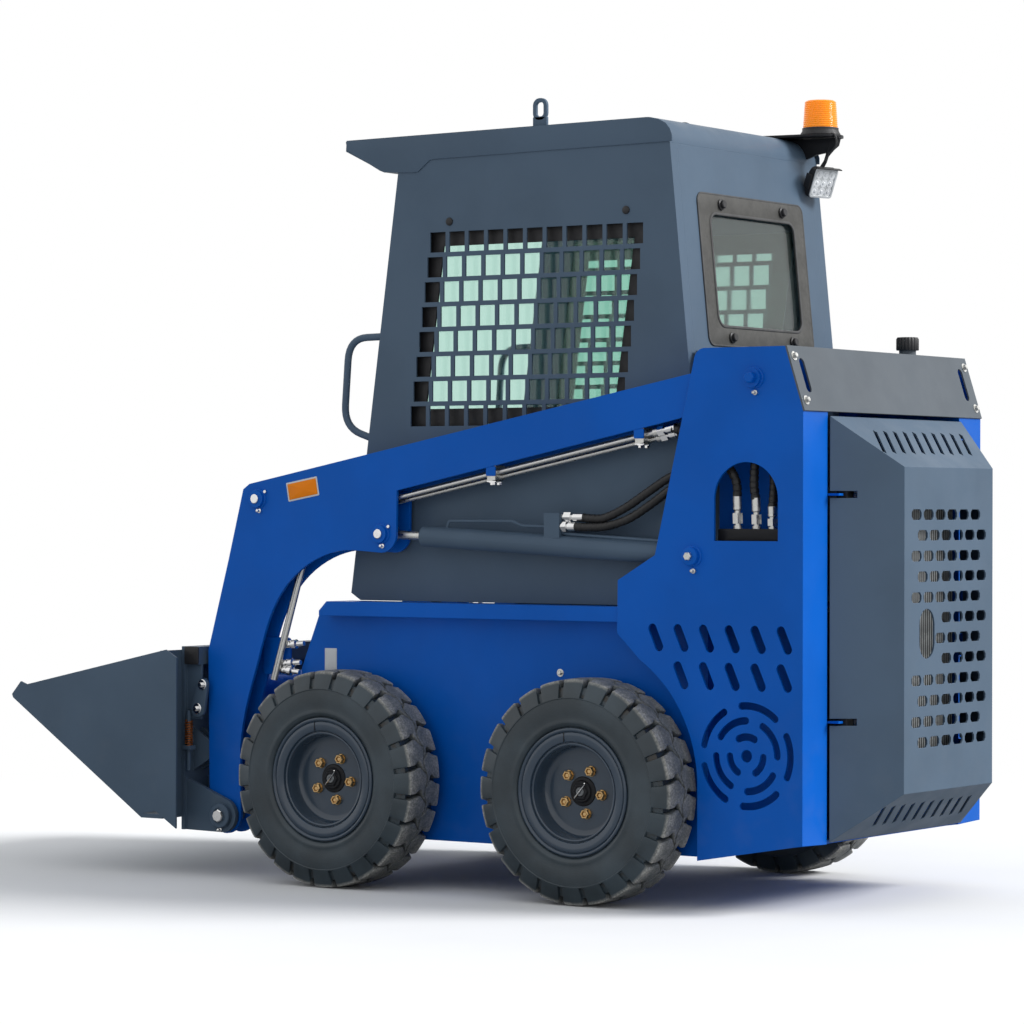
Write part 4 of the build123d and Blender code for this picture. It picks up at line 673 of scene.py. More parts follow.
def block_ring(side, phase):
    """One row of blocks with its sidewall: the profile runs out, the columns run round the wheel.

    A point's angle is its column's place plus the row's phase, and its (x, r) is its share of height
    between the hollow's profile and the block's. The middle edge follows a triangle wave.
    """
    block, hollow, top = tread_profiles()
    grid, tread, low = [], [], []
    for line, (over, under) in enumerate(zip(block, hollow)):
        across = min(over[0] / TREAD_HALF, WALL_ACROSS) if line < top else WALL_ACROSS
        columns, share = tread_columns(across)
        place = (np.arange(LUGS)[:, None] + columns[None, :] + phase).ravel()
        share = np.tile(share if line < top else np.zeros_like(share), LUGS)
        x = under[0] + share * (over[0] - under[0])
        r = under[1] + share * (over[1] - under[1])
        wave = 2 * np.abs((place + ZIGZAG_TURN) % 1 - 0.5) - 0.5
        inwards = np.clip(1 - over[0] / TREAD_HALF, 0, 1) ** 2 * (line < len(block) - 1)
        x = x + ROW_GAP + side * ZIGZAG * wave * inwards
        angle = place * 2 * pi / LUGS
        grid.append(np.stack([side * x, r * np.cos(angle), r * np.sin(angle)], 1))
        tread.append(share * np.interp(across, *WEAR))
        low.append((1 - share) * (line < top))
    # the left row runs the other way, so that its faces look out too
    return [np.array(part)[::-side] for part in (grid, tread, low)]


def wheel_centre(end, hand):
    """Middle of one wheel and the sign of its outer side."""
    side = 1 if hand == "left" else -1
    return np.array([side * TYRE_X, AXLE_Y if end == "front" else REAR_AXLE_Y, AXLE_Z]), side


def tyre(end, hand):
    """Solid industrial tyre: two rings of blocks and the core seen down the slit between them."""
    centre, side = wheel_centre(end, hand)
    grids, tread, low = [], [], []
    for row_side, phase in ((1, 0.5), (-1, 0.0)):
        grid, worn, hollow = (part[::side] for part in block_ring(row_side, phase))
        grids.append((grid * (side, 1, 1) + centre, True, True))
        tread.append(worn)
        low.append(hollow)
    core = np.array([(-CORE_HALF, TYRE_R - CORE_DEPTH), (CORE_HALF, TYRE_R - CORE_DEPTH),
                     (CORE_HALF, CORE_R), (-CORE_HALF, CORE_R)])
    core_grid = around(core[::-1], CORE_TURNS, centre)
    grids.append((core_grid, True, True))
    plain = np.zeros(core_grid.shape[:2])
    flat = {"tread": np.concatenate([part.ravel() for part in (*tread, plain)]),
            "hollow": np.concatenate([part.ravel() for part in (*low, plain)])}
    name = f"tyre_detail_{end}_{hand}"
    piece = new_piece(name, mesh_of(name, grids, flat), "rubber", f"wheel_{end}_{hand}")
    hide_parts(f"tyre_{end}_{hand}")


# Rim, as (r, x) in millimetres from the middle of its back round the seat and the lock ring to the hub
RIM_BACK = [(100, -24), (112, -25), (119, -29), (124, -50), (130, -69), (134, -70), (149.4, -70)]
RIM_LIP = [
    (149.4, 62), (164.5, 66.4), (167.4, 68.6), (168.2, 71.4), (167, 74.2), (164, 75.8), (160.6, 75.2),
    (158.2, 72.6),
]
LOCK_RING = [
    (156.8, 69.6), (155.6, 72.6), (153, 73.8), (145, 73.4), (136, 72), (132.6, 70.8), (131.2, 68),
    (130.6, 64.6),
]
RIM_STEPS = [(129.2, 64.6), (128, 67.6), (125.6, 68.8), (122.6, 67.4), (120.6, 62), (119.8, 52)]
RIM_DISH = [(119, 32), (118, 25), (115, 20.6), (110, 18.4), (100, 18), (66, 18), (44, 18.6)]
RIM_FACE = 18.0
NUT_RADIUS = 59.0
NUT_TURN = -7.0
WHEEL_NUTS = 5
NUT_SEAT = [(14.4, -1), (14.4, 1.4), (13.4, 3)]
WHEEL_NUT = [(13.4, 2), (13.4, 13), (11.6, 15), (8.8, 15), (7.4, 13), (7.4, 8.4)]
WHEEL_STUD = [(5.6, 9), (5.6, 11.6), (4.6, 12.6)]
HUB = [(39, 16), (39, 20), (37, 22), (30, 23), (28.5, 25), (28.5, 29), (26.5, 31)]
HUB_NUT = [(23, 29), (23, 35), (20.5, 37), (15.4, 37), (15.4, 34)]
HUB_STUD = [(12.5, 33), (12.5, 35.6), (11, 37), (5, 37), (4, 35.4)]
SPLIT_PLACE = (72.9, 144.4)
SPLIT_TURN = 100.0
PIN_TURN = 48.0
PIN_ROUTE = ((46, 31), (40, 24), (38.6, -18), (36, -24))
PIN_R = 1.7


def round_wheel(centre, side, x, radius, turn):
    """Point of a wheel from its place along the axis, radius and angle from the rear upwards."""
    return centre + np.array([side * x, radius * cos(turn), radius * sin(turn)]) * MM


def rim(end, hand):
    """Dished rim with its split lock ring, brass nuts, black hub and cotter pin."""
    centre, side = wheel_centre(end, hand)
    body, out = f"wheel_{end}_{hand}", (side, 0, 0)
    profile = RIM_BACK + RIM_LIP + LOCK_RING + RIM_STEPS + RIM_DISH
    piece = solid(f"rim_detail_{end}_{hand}", [lathe(profile, centre, out, 120)], "rim_grey", body)
    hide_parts(f"rim_{end}_{hand}")
    nuts = []
    for nut in range(WHEEL_NUTS):
        turn = radians(NUT_TURN + nut * 360 / WHEEL_NUTS)
        place = round_wheel(centre, side, RIM_FACE, NUT_RADIUS, turn)
        for shape, turns in ((NUT_SEAT, 24), (WHEEL_NUT, 6), (WHEEL_STUD, 16)):
            nuts.append(lathe(shape, place, out, turns))
    solid(f"wheel_nuts_{end}_{hand}", nuts, "brass", body)
    split = facing(round_wheel(centre, side, *SPLIT_PLACE, radians(SPLIT_TURN)), out)
    slit = slab(rounded(2.2, 25, 0.8), 1.6, 0.3, split)
    cap = [lathe(HUB, centre, out, 48), lathe(HUB_NUT, centre, out, 6), slit]
    solid(f"hub_cap_{end}_{hand}", cap, "black_steel", body)
    across = [round_wheel(centre, side, x, r, radians(PIN_TURN)) for x, r in PIN_ROUTE]
    solid(f"cotter_pin_{end}_{hand}", [carried(curve(across, 6), PIN_R, 8)], "chrome", body)
    solid(f"hub_stud_{end}_{hand}", [lathe(HUB_STUD, centre, out, 24)], "worn_steel", body)


for wheel in WHEELS:
    tyre(*wheel)
for wheel in WHEELS:
    rim(*wheel)


# Pins and bosses, as (station, height) of the side view or (r, h) of a turned piece, in millimetres
BOOM_PIVOT = (1284, 1363)
LIFT_BASE_PIN = (1102, 908)
LIFT_PIN = (106, 960)
TILT_BASE_PIN = (-317, 1055)
BUCKET_PIN = (-427, 170)
TOWER_X = 492
ARM_X = 479
EAR_X = 498
FRAME_X = 430
SIDE_BOLT = (658, 595)
BOSS_H = 13
BEAD = [(28.5, 0), (27.6, 1.8), (25, 3.4)]
COLLAR = [(23, 0), (23, 3), (20, 5)]
END_CAP = [(13, 0), (13, 5), (11.6, 6.2)]
EAR_BOSS = [(34, 0), (34, 13), (32, 15), (22, 15), (22, 12)]
EAR_PIN = [(18, 0), (18, 21), (15.5, 24)]
TOWER_NIPPLE = (6, -38)
ARM_NIPPLE = (8, -33)
ARM_SCREW = (27, 20)
EAR_NIPPLE = (-4, -40)


def beside(pin, shift):
    """Place of the side view at a shift from a pin."""
    return pin[0] + shift[0], pin[1] + shift[1]


def boss_trim():
    """Weld beads, bolts, pin ends and grease nipples on the bosses of towers, arms and coupler."""
    for hand, side in HANDS:
        out = (side, 0, 0)
        painted = [lathe(BEAD, at(side * TOWER_X, *pin), out) for pin in (BOOM_PIVOT, LIFT_BASE_PIN)]
        painted += hex_bolt(at(side * (TOWER_X + BOSS_H), *BOOM_PIVOT), out, 26)
        painted.append(lathe(COLLAR, at(side * (TOWER_X + BOSS_H), *LIFT_BASE_PIN), out))
        tower = hex_bolt(at(side * (TOWER_X + BOSS_H + 4), *LIFT_BASE_PIN), out, 20, False)
        for pin in (BOOM_PIVOT, LIFT_BASE_PIN):
            tower.append(nipple(at(side * TOWER_X, *beside(pin, TOWER_NIPPLE)), out))
        tower += hex_bolt(at(side * FRAME_X, *SIDE_BOLT), out, 11)
        arm, bright = [], []
        for pin in (LIFT_PIN, TILT_BASE_PIN):
            arm.append(lathe(BEAD, at(side * ARM_X, *pin), out))
            bright.append(lathe(END_CAP, at(side * (ARM_X + BOSS_H), *pin), out))
            bright.append(nipple(at(side * ARM_X, *beside(pin, ARM_NIPPLE)), out))
            bright += hex_bolt(at(side * (ARM_X + 1), *beside(pin, ARM_SCREW)), out, 9, False)
        solid(f"tower_pivot_{hand}", painted, "blue_paint", "chassis")
        solid(f"tower_bolts_{hand}", tower, "steel", "chassis")
        solid(f"arm_beads_{hand}", arm, "blue_paint", "boom")
        solid(f"arm_pins_{hand}", bright, "chrome", "boom")
        place = at(side * EAR_X, *BUCKET_PIN)
        solid(f"ear_boss_{hand}", [lathe(EAR_BOSS, place, out, 48)], "grey_paint", "bucket_unit")
        greaser = nipple(at(side * EAR_X, *beside(BUCKET_PIN, EAR_NIPPLE)), out)
        ear = [lathe(EAR_PIN, place, out, 8), greaser]
        solid(f"ear_pin_{hand}", ear, "chrome", "bucket_unit")


# Latches: link with two pins and a spring on a rod, on each end of the coupler
LATCH_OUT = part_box("latches")[1].x / MM - 6
LATCH_UPPER = (-490, 534)
LATCH_LOWER = (-508, 467)
LINK_ENDS = (17, 24)
LATCH_DISC = [(15, 0), (15, 2.4), (13.6, 3.6)]
LATCH_BOLT_LIFT = 3.4
SPRING_STATION = -541
SPRING_FOOT, SPRING_TOP = 362, 433
SPRING_LAPS = 11
SPRING_R = 9.8
SPRING_WIRE = 2.1
ROD_FOOT, ROD_TOP = SPRING_FOOT - 70, 460
ROD_R = 6


def link_outline(start, end, start_r, end_r):
    """Outline round two circles, anticlockwise: half a circle about each."""
    lean = np.arctan2(start[1] - end[1], start[0] - end[0])
    turn = np.linspace(-pi / 2, pi / 2, 12)
    first = np.array(start) + start_r * np.stack([np.cos(lean + turn), np.sin(lean + turn)], 1)
    second = np.array(end) + end_r * np.stack([np.cos(lean + pi + turn), np.sin(lean + pi + turn)], 1)
    return np.concatenate([first, second])


def latches():
    """Latch link, its pins and discs, the coil spring and its rod at each end of the coupler."""
    links, pins, rods, coils = [], [], [], []
    for _, side in HANDS:
        out = (side, 0, 0)
        outline = link_outline(LATCH_UPPER, LATCH_LOWER, *LINK_ENDS)
        links.append(slab(outline, 10, 1.2, side_view(LATCH_OUT - 10, side)))
        foot = rounded(28, 12, 2) + (SPRING_STATION, SPRING_FOOT - 6)
        links.append(slab(foot, 26, 1, side_view(LATCH_OUT - 17, side)))
        for pin in (LATCH_UPPER, LATCH_LOWER):
            place = at(side * LATCH_OUT, *pin)
            pins.append(lathe(LATCH_DISC, place, out))
            pins += hex_bolt(place + np.array(out) * LATCH_BOLT_LIFT * MM, out, 13)
        x = side * (LATCH_OUT - 3)
        ends = np.array([at(x, SPRING_STATION, end) for end in (ROD_FOOT, ROD_TOP)])
        rods.append(carried(ends, ROD_R, 16))
        turn = np.linspace(0, SPRING_LAPS * 2 * pi, SPRING_LAPS * 20)
        rise = (SPRING_TOP - SPRING_FOOT) * turn / turn[-1]
        coil = np.stack([SPRING_R * np.cos(turn), SPRING_R * np.sin(turn), rise], 1) * MM
        coils.append(carried(coil + at(x, SPRING_STATION, SPRING_FOOT), SPRING_WIRE, 8))
    piece = solid("latch_links", links, "grey_paint", "bucket_unit")
    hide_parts("latches")
    solid("latch_pins", pins, "chrome", "bucket_unit")
    solid("latch_rods", rods, "grey_paint", "bucket_unit")
    solid("latch_springs", coils, "rust", "bucket_unit")


boss_trim()
latches()


# Hydraulics: tube ends as (x, station, height), hoses and lines as (station, height) of the side view
TUBE_ENDS = ((460, 992, 1232), (442, 992, 1219))
TUBE_FITTING = (40, 8), (-22, -4.5)
ARM_UNDERSIDE = (158, 1078)
ARM_SLOPE = 0.206
CLAMP_STATIONS = (465, 930)
CLAMP_X = 451
CLAMP_DROP = 38
CLAMP_TAB_X = 474
MANIFOLD = (1262, 962)
MANIFOLD_X = 428
TOWER_HOSES = (
    ((1212, 1058), (1212, 1088), (1203, 1116), (1178, 1146), (1120, 1188), (1062, 1226), (1024, 1238)),
    ((1264, 1050), (1258, 1086), (1258, 1124), (1256, 1164), (1214, 1214), (1120, 1236), (1024, 1225)),
    ((1308, 1028), (1306, 1066), (1301, 1104), (1292, 1150), (1276, 1196), (1262, 1240)),
)
TOWER_HOSE_X = (452, 446, 440)
TOWER_HOSE_END_X = (TUBE_ENDS[0][0], TUBE_ENDS[1][0], 386)
PORT_HOSES = (
    (
        (728, 1007), (758, 1004), (806, 1006), (872, 1034), (934, 1072), (1002, 1112), (1076, 1138),
        (1140, 1150),
    ),
    (
        (706, 982), (752, 981), (812, 984), (880, 1004), (946, 1042), (1010, 1084), (1078, 1112),
        (1140, 1124),
    ),
)
PORT_X = 443
PORT_STEP = 6
PORT_FACE = 668
PORT_HOSE_END_X = 430
HOSE_R = 10.5
FITTING_R = 11.5
PORT_FITTING_R = 12
BARREL_LINE = ((672, 966), (700, 962), (900, 950), (1040, 942))
COUPLINGS = ((-250, 649, 5), (-262, 597, 4), (-266, 582, -6))
COUPLING_X = 446
COUPLING = [
    (7, 0), (7, 8), (11, 10), (11, 22), (9, 24), (9, 30), (13, 32), (13, 44), (7, 47), (7, 70),
]
BRACKET_X = 418
BRACKET_MIDDLE = (-292, 617)


def under_arm(station):
    """Height of the arm's underside in millimetres."""
    return ARM_UNDERSIDE[1] + (station - ARM_UNDERSIDE[0]) * ARM_SLOPE


def tower_hoses(hand, side):
    """Wrapped hoses from the tower's manifold, two of them to the boom's tubes, with their fittings."""
    fittings = []
    for number, (points, x) in enumerate(zip(TOWER_HOSES, TOWER_HOSE_X)):
        across = np.linspace(x, TOWER_HOSE_END_X[number], len(points))
        route = [at(side * w, *point) for w, point in zip(across, points)]
        mesh = mesh_of(f"tower_hose_{number}_{hand}", [hose(route, HOSE_R, 1.4)])
        if number < len(TUBE_ENDS):
            piece = new_piece(mesh.name, mesh, "hose", None)
            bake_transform(piece)
        else:
            new_piece(mesh.name, mesh, "hose", "chassis")
        foot = at(side * x, points[0][0] + 2, MANIFOLD[1] + 14)
        fittings += fitting(route[0] + np.array([0, 0, 0.008]), foot, FITTING_R)
    bar = facing(at(side * MANIFOLD_X, *MANIFOLD), (side, 0, 0))
    solid(f"manifold_{hand}", [slab(rounded(196, 34, 4), 40, 2, bar)], "black_steel", "chassis")
    solid(f"tower_fittings_{hand}", fittings, "steel", "chassis")
    ends = []
    for x, *place in TUBE_ENDS:
        far, near = (at(side * x, *beside(place, shift)) for shift in TUBE_FITTING)
        ends += fitting(far, near, FITTING_R)
    solid(f"tube_fittings_{hand}", ends, "chrome", "boom")


def port_hoses(hand, side):
    """Two hoses from the tower to the lift barrel's ports, fittings and the line along the barrel."""
    ports = []
    for number, points in enumerate(PORT_HOSES):
        port_x = PORT_X + PORT_STEP * number
        last = len(points) - 1
        across = np.interp(range(last + 1), [0, 3, last], [port_x, PORT_X, PORT_HOSE_END_X])
        route = [at(side * w, *point) for w, point in zip(across, points)]
        mesh = mesh_of(f"port_hose_{number}_{hand}", [hose(route, HOSE_R, 1.0)])
        piece = new_piece(mesh.name, mesh, "hose", None)
        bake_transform(piece)
        start = at(side * port_x, PORT_FACE, points[0][1])
        ports += fitting(route[0] + np.array([0, 0.012, 0]), start, PORT_FITTING_R)
    solid(f"port_fittings_{hand}", ports, "chrome", f"lift_barrel_{hand}_body")
    line = carried(curve([at(side * PORT_X, *p) for p in BARREL_LINE], 6), 5, 12)
    solid(f"barrel_line_{hand}", [line], "grey_paint", f"lift_barrel_{hand}_body")


def tube_clamps():
    """Bolts and their plate under each clamp of the boom's tubes, and the tab that holds the clamp."""
    for hand, side in HANDS:
        bolts, tabs = [], []
        for station in CLAMP_STATIONS:
            foot = under_arm(station) - CLAMP_DROP - 3
            level = (at(side * CLAMP_X, station, foot), ACROSS, ALONG, UP)
            bolts.append(slab(rounded(50, 30, 3), 3, 0.8, level))
            for shift in (-16, 16):
                bolts += hex_bolt(at(side * (CLAMP_X + shift), station, foot), -UP, 12)
            tab = rounded(30, 26, 4) + (station, under_arm(station) - 12)
            tabs.append(slab(tab, 4, 0.8, side_view(CLAMP_TAB_X, side)))
        solid(f"clamp_bolts_{hand}", bolts, "chrome", "boom")
        solid(f"clamp_tabs_{hand}", tabs, "blue_paint", "boom")


def quick_couplings():
    """Three quick couplings on a bracket behind the left leg."""
    grids, stems = [], []
    for station, height, rise in COUPLINGS:
        ahead = (0, cos(radians(rise)), sin(radians(rise)))
        grids.append(lathe(COUPLING, at(COUPLING_X, station, height), ahead, 20))
        ends = [at(x, station - 2, height) for x in (BRACKET_X + 6, COUPLING_X)]
        stems.append(carried(np.array(ends), 6, 12))
    solid("quick_couplings", grids, "chrome", "boom")
    bracket = slab(rounded(96, 104, 12) + BRACKET_MIDDLE, 6, 1, side_view(BRACKET_X, 1))
    solid("coupling_bracket", [bracket, *stems], "blue_paint", "boom")


for hand, side in HANDS:
    tower_hoses(hand, side)
    port_hoses(hand, side)
tube_clamps()
quick_couplings()


# Beacon, its bracket and the work light under it
BEACON_X = -340
BEACON_STATION = 1010
BEACON_FOOT = 2062
BEACON_RIBS = 13
DOME_FOOT, DOME_H = 20, 71
DOME_R, DOME_TAPER, DOME_RIPPLE = 48.2, 4.8, 0.55
DOME_TOP = [(41.6, 94.4), (38, 96.6), (30, 97)]
BEACON_BASE = [(55, 0), (56, 2), (55, 6), (52, 10), (50, 16), (50.6, 19), (50, 21), (46, 22)]
REFLECTOR = [(22, 21), (26, 36), (26, 64), (18, 78)]
BRACKET_R = 64
BRACKET_T = 7
BRACKET_FRONT = [(-BRACKET_R - 22, -136), (BRACKET_R, -136)]
GUSSET = [(-46, -64), (-10, -52), (34, -46), (56, -30), (62, -8), (-82, -8)]
LAMP_STEM = (
    (0, BEACON_STATION + 34, BEACON_FOOT - 10), (4, BEACON_STATION + 18, 1990),
    (11, BEACON_STATION, 1962),
)
LAMP_CABLE = (
    (-318, 1052, 2066), (-312, 1072, 2058), (-316, 1072, 2030), (-330, 1040, 2004), (-338, 1010, 1972),
)
LAMP_PLACE = (-329, 1026, 1929)
LAMP_SIZE = 86
LAMP_TURN = 17.0
LAMP_TILT = 23.0
LAMP_CELL = [(11.4, 0.4), (12, 1.4), (10.4, 1.6), (5, 0.9), (3.4, 2.6), (0, 3)]
CELL_STEP = 24


def beacon():
    """Amber dome with level ribs on a flared black base, with the reflector that shows through it.

    The dome's radius falls from 48 to 43 mm with a ripple of one wave a rib, and its top is rounded.
    """
    foot = at(BEACON_X, BEACON_STATION, BEACON_FOOT)
    rise = np.linspace(0, 1, BEACON_RIBS * 6 + 1)
    radius = DOME_R - DOME_TAPER * rise + DOME_RIPPLE * np.cos(2 * pi * BEACON_RIBS * rise)
    wall = np.stack([radius, DOME_FOOT + DOME_H * rise], 1)
    dome = [(47, DOME_FOOT - 2), *map(tuple, wall), *DOME_TOP]
    piece = solid("beacon_dome", [lathe(dome, foot, UP, 72)], "amber", "chassis")
    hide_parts("beacon")
    solid("beacon_base", [lathe(BEACON_BASE, foot, UP, 64)], "black_plastic", "chassis")
    solid("beacon_reflector", [lathe(REFLECTOR, foot, UP, 24)], "amber_paint", "chassis")


def beacon_bracket():
    """Round-ended plate from the roof's rear corner, its gusset, the lamp's stem and its cable."""
    turn = np.linspace(-pi / 2, pi / 2, 16)
    end = np.stack([BRACKET_R * np.sin(turn), BRACKET_R * np.cos(turn)], 1)[::-1]
    foot = at(BEACON_X, BEACON_STATION, BEACON_FOOT - BRACKET_T)
    plate = slab(np.concatenate([end, BRACKET_FRONT]), BRACKET_T, 1.4, (foot, -ACROSS, ALONG, UP))
    web = side_view(BEACON_X - 6, 1, (BEACON_STATION, BEACON_FOOT))
    rib = slab(np.array(GUSSET, float), 12, 1.2, web)
    stem = carried(curve([at(BEACON_X + x, *place) for x, *place in LAMP_STEM], 6), 5, 12)
    piece = solid("beacon_arm", [plate, rib, stem], "black_steel", "chassis")
    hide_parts("beacon_bracket")
    solid("lamp_cable", [carried(curve([at(*p) for p in LAMP_CABLE], 8), 3, 10)], "gasket", "chassis")


def work_light():
    """Square lamp turned and tilted down: finned body, nine reflectors, bezel and short visor."""
    turn, tilt = radians(LAMP_TURN), radians(LAMP_TILT)
    out = np.array([sin(turn) * cos(tilt), cos(turn) * cos(tilt), -sin(tilt)])
    across = np.cross(out, UP)
    across /= np.linalg.norm(across)
    up = np.cross(across, out)
    across = np.cross(up, out)
    middle = at(*LAMP_PLACE)

    def plane(depth):
        """Plane of the lamp at a depth along its line of sight."""
        return middle + out * depth * MM, across, up, out

    def layer(size, corner, thick, edge, depth):
        """Square plate of the lamp."""
        return slab(rounded(size, size, corner), thick, edge, plane(depth))

    body = [layer(LAMP_SIZE, 10, 16, 2, -16)]
    body += [layer(LAMP_SIZE - 8 - 12 * step, 8, 5, 1, -23 - 8 * step) for step in range(3)]
    body.append(layer(LAMP_SIZE - 40, 8, 30, 1, -40))
    body.append(slab(rounded(LAMP_SIZE + 4, 3, 1) + (0, LAMP_SIZE / 2 + 1), 12, 0.8, plane(0)))
    ear = rounded(5, 40, 2)
    body += [slab(ear + (side * (LAMP_SIZE / 2 + 2), 0), 22, 1, plane(-26)) for side in (-1, 1)]
    piece = solid("lamp_body", body, "black_plastic", "chassis")
    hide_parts("work_light")
    bezel = ring(rounded(LAMP_SIZE - 2, LAMP_SIZE - 2, 9), 7, 3, 1, plane(-0.4))
    solid("lamp_bezel", [bezel, layer(LAMP_SIZE - 14, 6, 1, 0.3, -0.2)], "lamp_grey", "chassis")
    steps = [column * CELL_STEP * across + row * CELL_STEP * up
             for row in (-1, 0, 1) for column in (-1, 0, 1)]
    cells = [lathe(LAMP_CELL, middle + step * MM, out, 20) for step in steps]
    solid("lamp_cells", cells, "lamp_white", "chassis")


beacon()
beacon_bracket()
work_light()


# Cab: sizes as (width, height, corner), places as (station, height)
CAB_X = 391
CAB_REAR_LEAN = 0.103
CAB_REAR_SEAM = (970, 1986)
REAR_WINDOW_HEIGHT = 1662
WINDOW_OUTER, WINDOW_INNER = (554, 402, 22), (452, 306, 34)
SEAL_OUTER, SEAL_INNER = (562, 410, 27), (456, 310, 36)
WINDOW_STEPS = 10
KNOB = [(15, 0), (15, 3), (11, 5), (11, 11), (9, 13)]
KNOB_PLACES = [(across, up) for across in (-162, 162) for up in (-180, 176)]
ROUND_BOLTS = ((270, 1808), (836, 1815))
ROOF_SKIRT = [
    (-79, 2043), (-74, 2020), (-58, 2010), (38, 1957), (53, 1951.6), (150, 1946.6), (166, 1948),
    (204, 1977), (218, 1979.6), (978, 1989), (978, 2006), (972, 2022), (958, 2038), (936, 2049),
    (912, 2054), (895, 2054.6),
]
SKIRT_T = 3.2
SKIRT_MIDDLE = (196, 2010)
HANDLE_PATH = [(48, 1502), (-76, 1500), (-93, 1254), (34, 1212)]
HANDLE_CORNER = 62
HANDLE_R = 10
HANDLE_IN = 12
EYE_X = 366
EYE_PLACE = (552, 2050)
SIDE_WINDOW = [(186, 1800), (112, 1245), (836, 1245), (912, 1800)]
SIDE_WINDOW_BAND = 56
CAP = [(29, 16), (30, 18), (30, 46), (27, 51), (0, 52)]
CAP_FLUTES = 20
NECK = [(26, 0), (26, 3), (23, 5), (23, 18)]


def cab_rear(height):
    """Station of the cab's rear wall at a height."""
    return CAB_REAR_SEAM[0] + (CAB_REAR_SEAM[1] - height) * CAB_REAR_LEAN


def cab_trim():
    """Round black fixings, the rear window's frame with its four knobs, and the seals round it."""
    fixings = []
    for _, side in HANDS:
        for place in ROUND_BOLTS:
            fixings.append(round_head(at(side * CAB_X, *place), (side, 0, 0), 11, 6))
    wall = facing(at(0, cab_rear(REAR_WINDOW_HEIGHT), REAR_WINDOW_HEIGHT), (0, 1, CAB_REAR_LEAN))
    outer, inner, seal_outer, seal_inner = (
        rounded(*size, WINDOW_STEPS) for size in (WINDOW_OUTER, WINDOW_INNER, SEAL_OUTER, SEAL_INNER)
    )
    solid("window_frame", [frame_of(outer, inner, 3, 0.8, wall)], "frame_brown", "chassis")
    seals = [ring(seal_inner, 8, 5, 2, wall), ring(seal_outer, 5, 3.6, 1.4, wall)]
    solid("window_seal", seals, "gasket", "chassis")
    for across, up in KNOB_PLACES:
        place = wall[0] + (across * wall[1] + up * wall[2] + 4 * wall[3]) * MM
        fixings.append(lathe(KNOB, place, wall[3], 24))
    solid("cab_fixings", fixings, "black_plastic", "chassis")


def roof_skirts():
    """Side flange of the roof that laps over each side wall, stepped behind the visor."""
    outline = np.array(ROOF_SKIRT, float)
    skirts = [slab(outline, SKIRT_T, 0.9, side_view(CAB_X, side), SKIRT_MIDDLE) for _, side in HANDS]
    solid("roof_skirts", skirts, "grey_paint", "chassis")


def bent(points, corner):
    """Route of straight runs with rounded corners: each corner is a quadratic curve between runs."""
    p = [np.array(point, float) for point in points]
    route = [p[0]]
    share = np.linspace(0, 1, 9)[:, None]
    for before, here, after in zip(p, p[1:], p[2:]):
        start = here + corner * (before - here) / np.linalg.norm(before - here)
        end = here + corner * (after - here) / np.linalg.norm(after - here)
        route.extend((1 - share) ** 2 * start + 2 * share * (1 - share) * here + share**2 * end)
    return np.array([*route, p[-1]])


def grab_handles():
    """Bent tube on the front edge of each side wall."""
    path = bent(HANDLE_PATH, HANDLE_CORNER)
    routes = [np.array([at(side * (CAB_X - HANDLE_IN), *point) for point in path]) for _, side in HANDS]
    rails = [carried(route, HANDLE_R, 20) for route in routes]
    piece = solid("grab_rails", rails, "grey_paint", "chassis")
    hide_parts("grab_handles")


def lifting_eyes():
    """Looped lifting eye of plate at the middle of each side of the roof."""
    eyes = []
    for _, side in HANDS:
        plane = side_view(EYE_X, side, EYE_PLACE)
        eyes.append(slab(rounded(44, 36, 3) + (0, 10), 9, 1, plane))
        eyes.append(ring(rounded(45, 60, 20, 8) + (0, 48), 11, 9, 1.6, plane))
    piece = solid("lifting_loops", eyes, "grey_paint", "chassis")
    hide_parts("lifting_eyes")


def window_frames():
    """Black frame of the sliding glass behind each side grille."""
    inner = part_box("side_windows")[1].x / MM + 0.5
    outline = np.array(SIDE_WINDOW, float)
    frames = [ring(outline, SIDE_WINDOW_BAND, 6, 1, side_view(inner, side)) for _, side in HANDS]
    solid("side_window_frames", frames, "black_plastic", "chassis")


def filler_cap():
    """Fluted black cap on its neck."""
    low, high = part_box("filler_cap")
    foot = np.array([(low.x + high.x) / 2, (low.y + high.y) / 2, low.z])
    cap = lathe(CAP, foot, UP, 8 * CAP_FLUTES, CAP_FLUTES, 0.03)
    piece = solid("filler_cap_detail", [cap], "black_plastic", "chassis")
    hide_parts("filler_cap")
    solid("filler_neck", [lathe(NECK, foot, UP)], "panel_grey", "chassis")


for build in (cab_trim, roof_skirts, grab_handles, lifting_eyes, window_frames, filler_cap):
    build()


# Seat and levers, in millimetres
SEAT_MIDDLE = (640, 855)
SEAT_SIZE = (226, 216, 54)
BACK_MIDDLE = (858, 1156)
BACK_SIZE = (216, 243, 41)
BACK_RISE = (60, 489)
CHANNELS = (-150, -75, 75, 150)
CHANNEL_DEPTH = 5
CHANNEL_WIDTH = 7
PAD_CROWN = 0.10
BOOT_X = 322
BOOT_PLACE = (170, 736)
BOOT_AXIS = (0, 95, 395)


def rounded_power(wave, power):
    """A sine or cosine squared off: its size raised to a power under one, its sign kept."""
    return np.sign(wave) * np.abs(wave) ** power


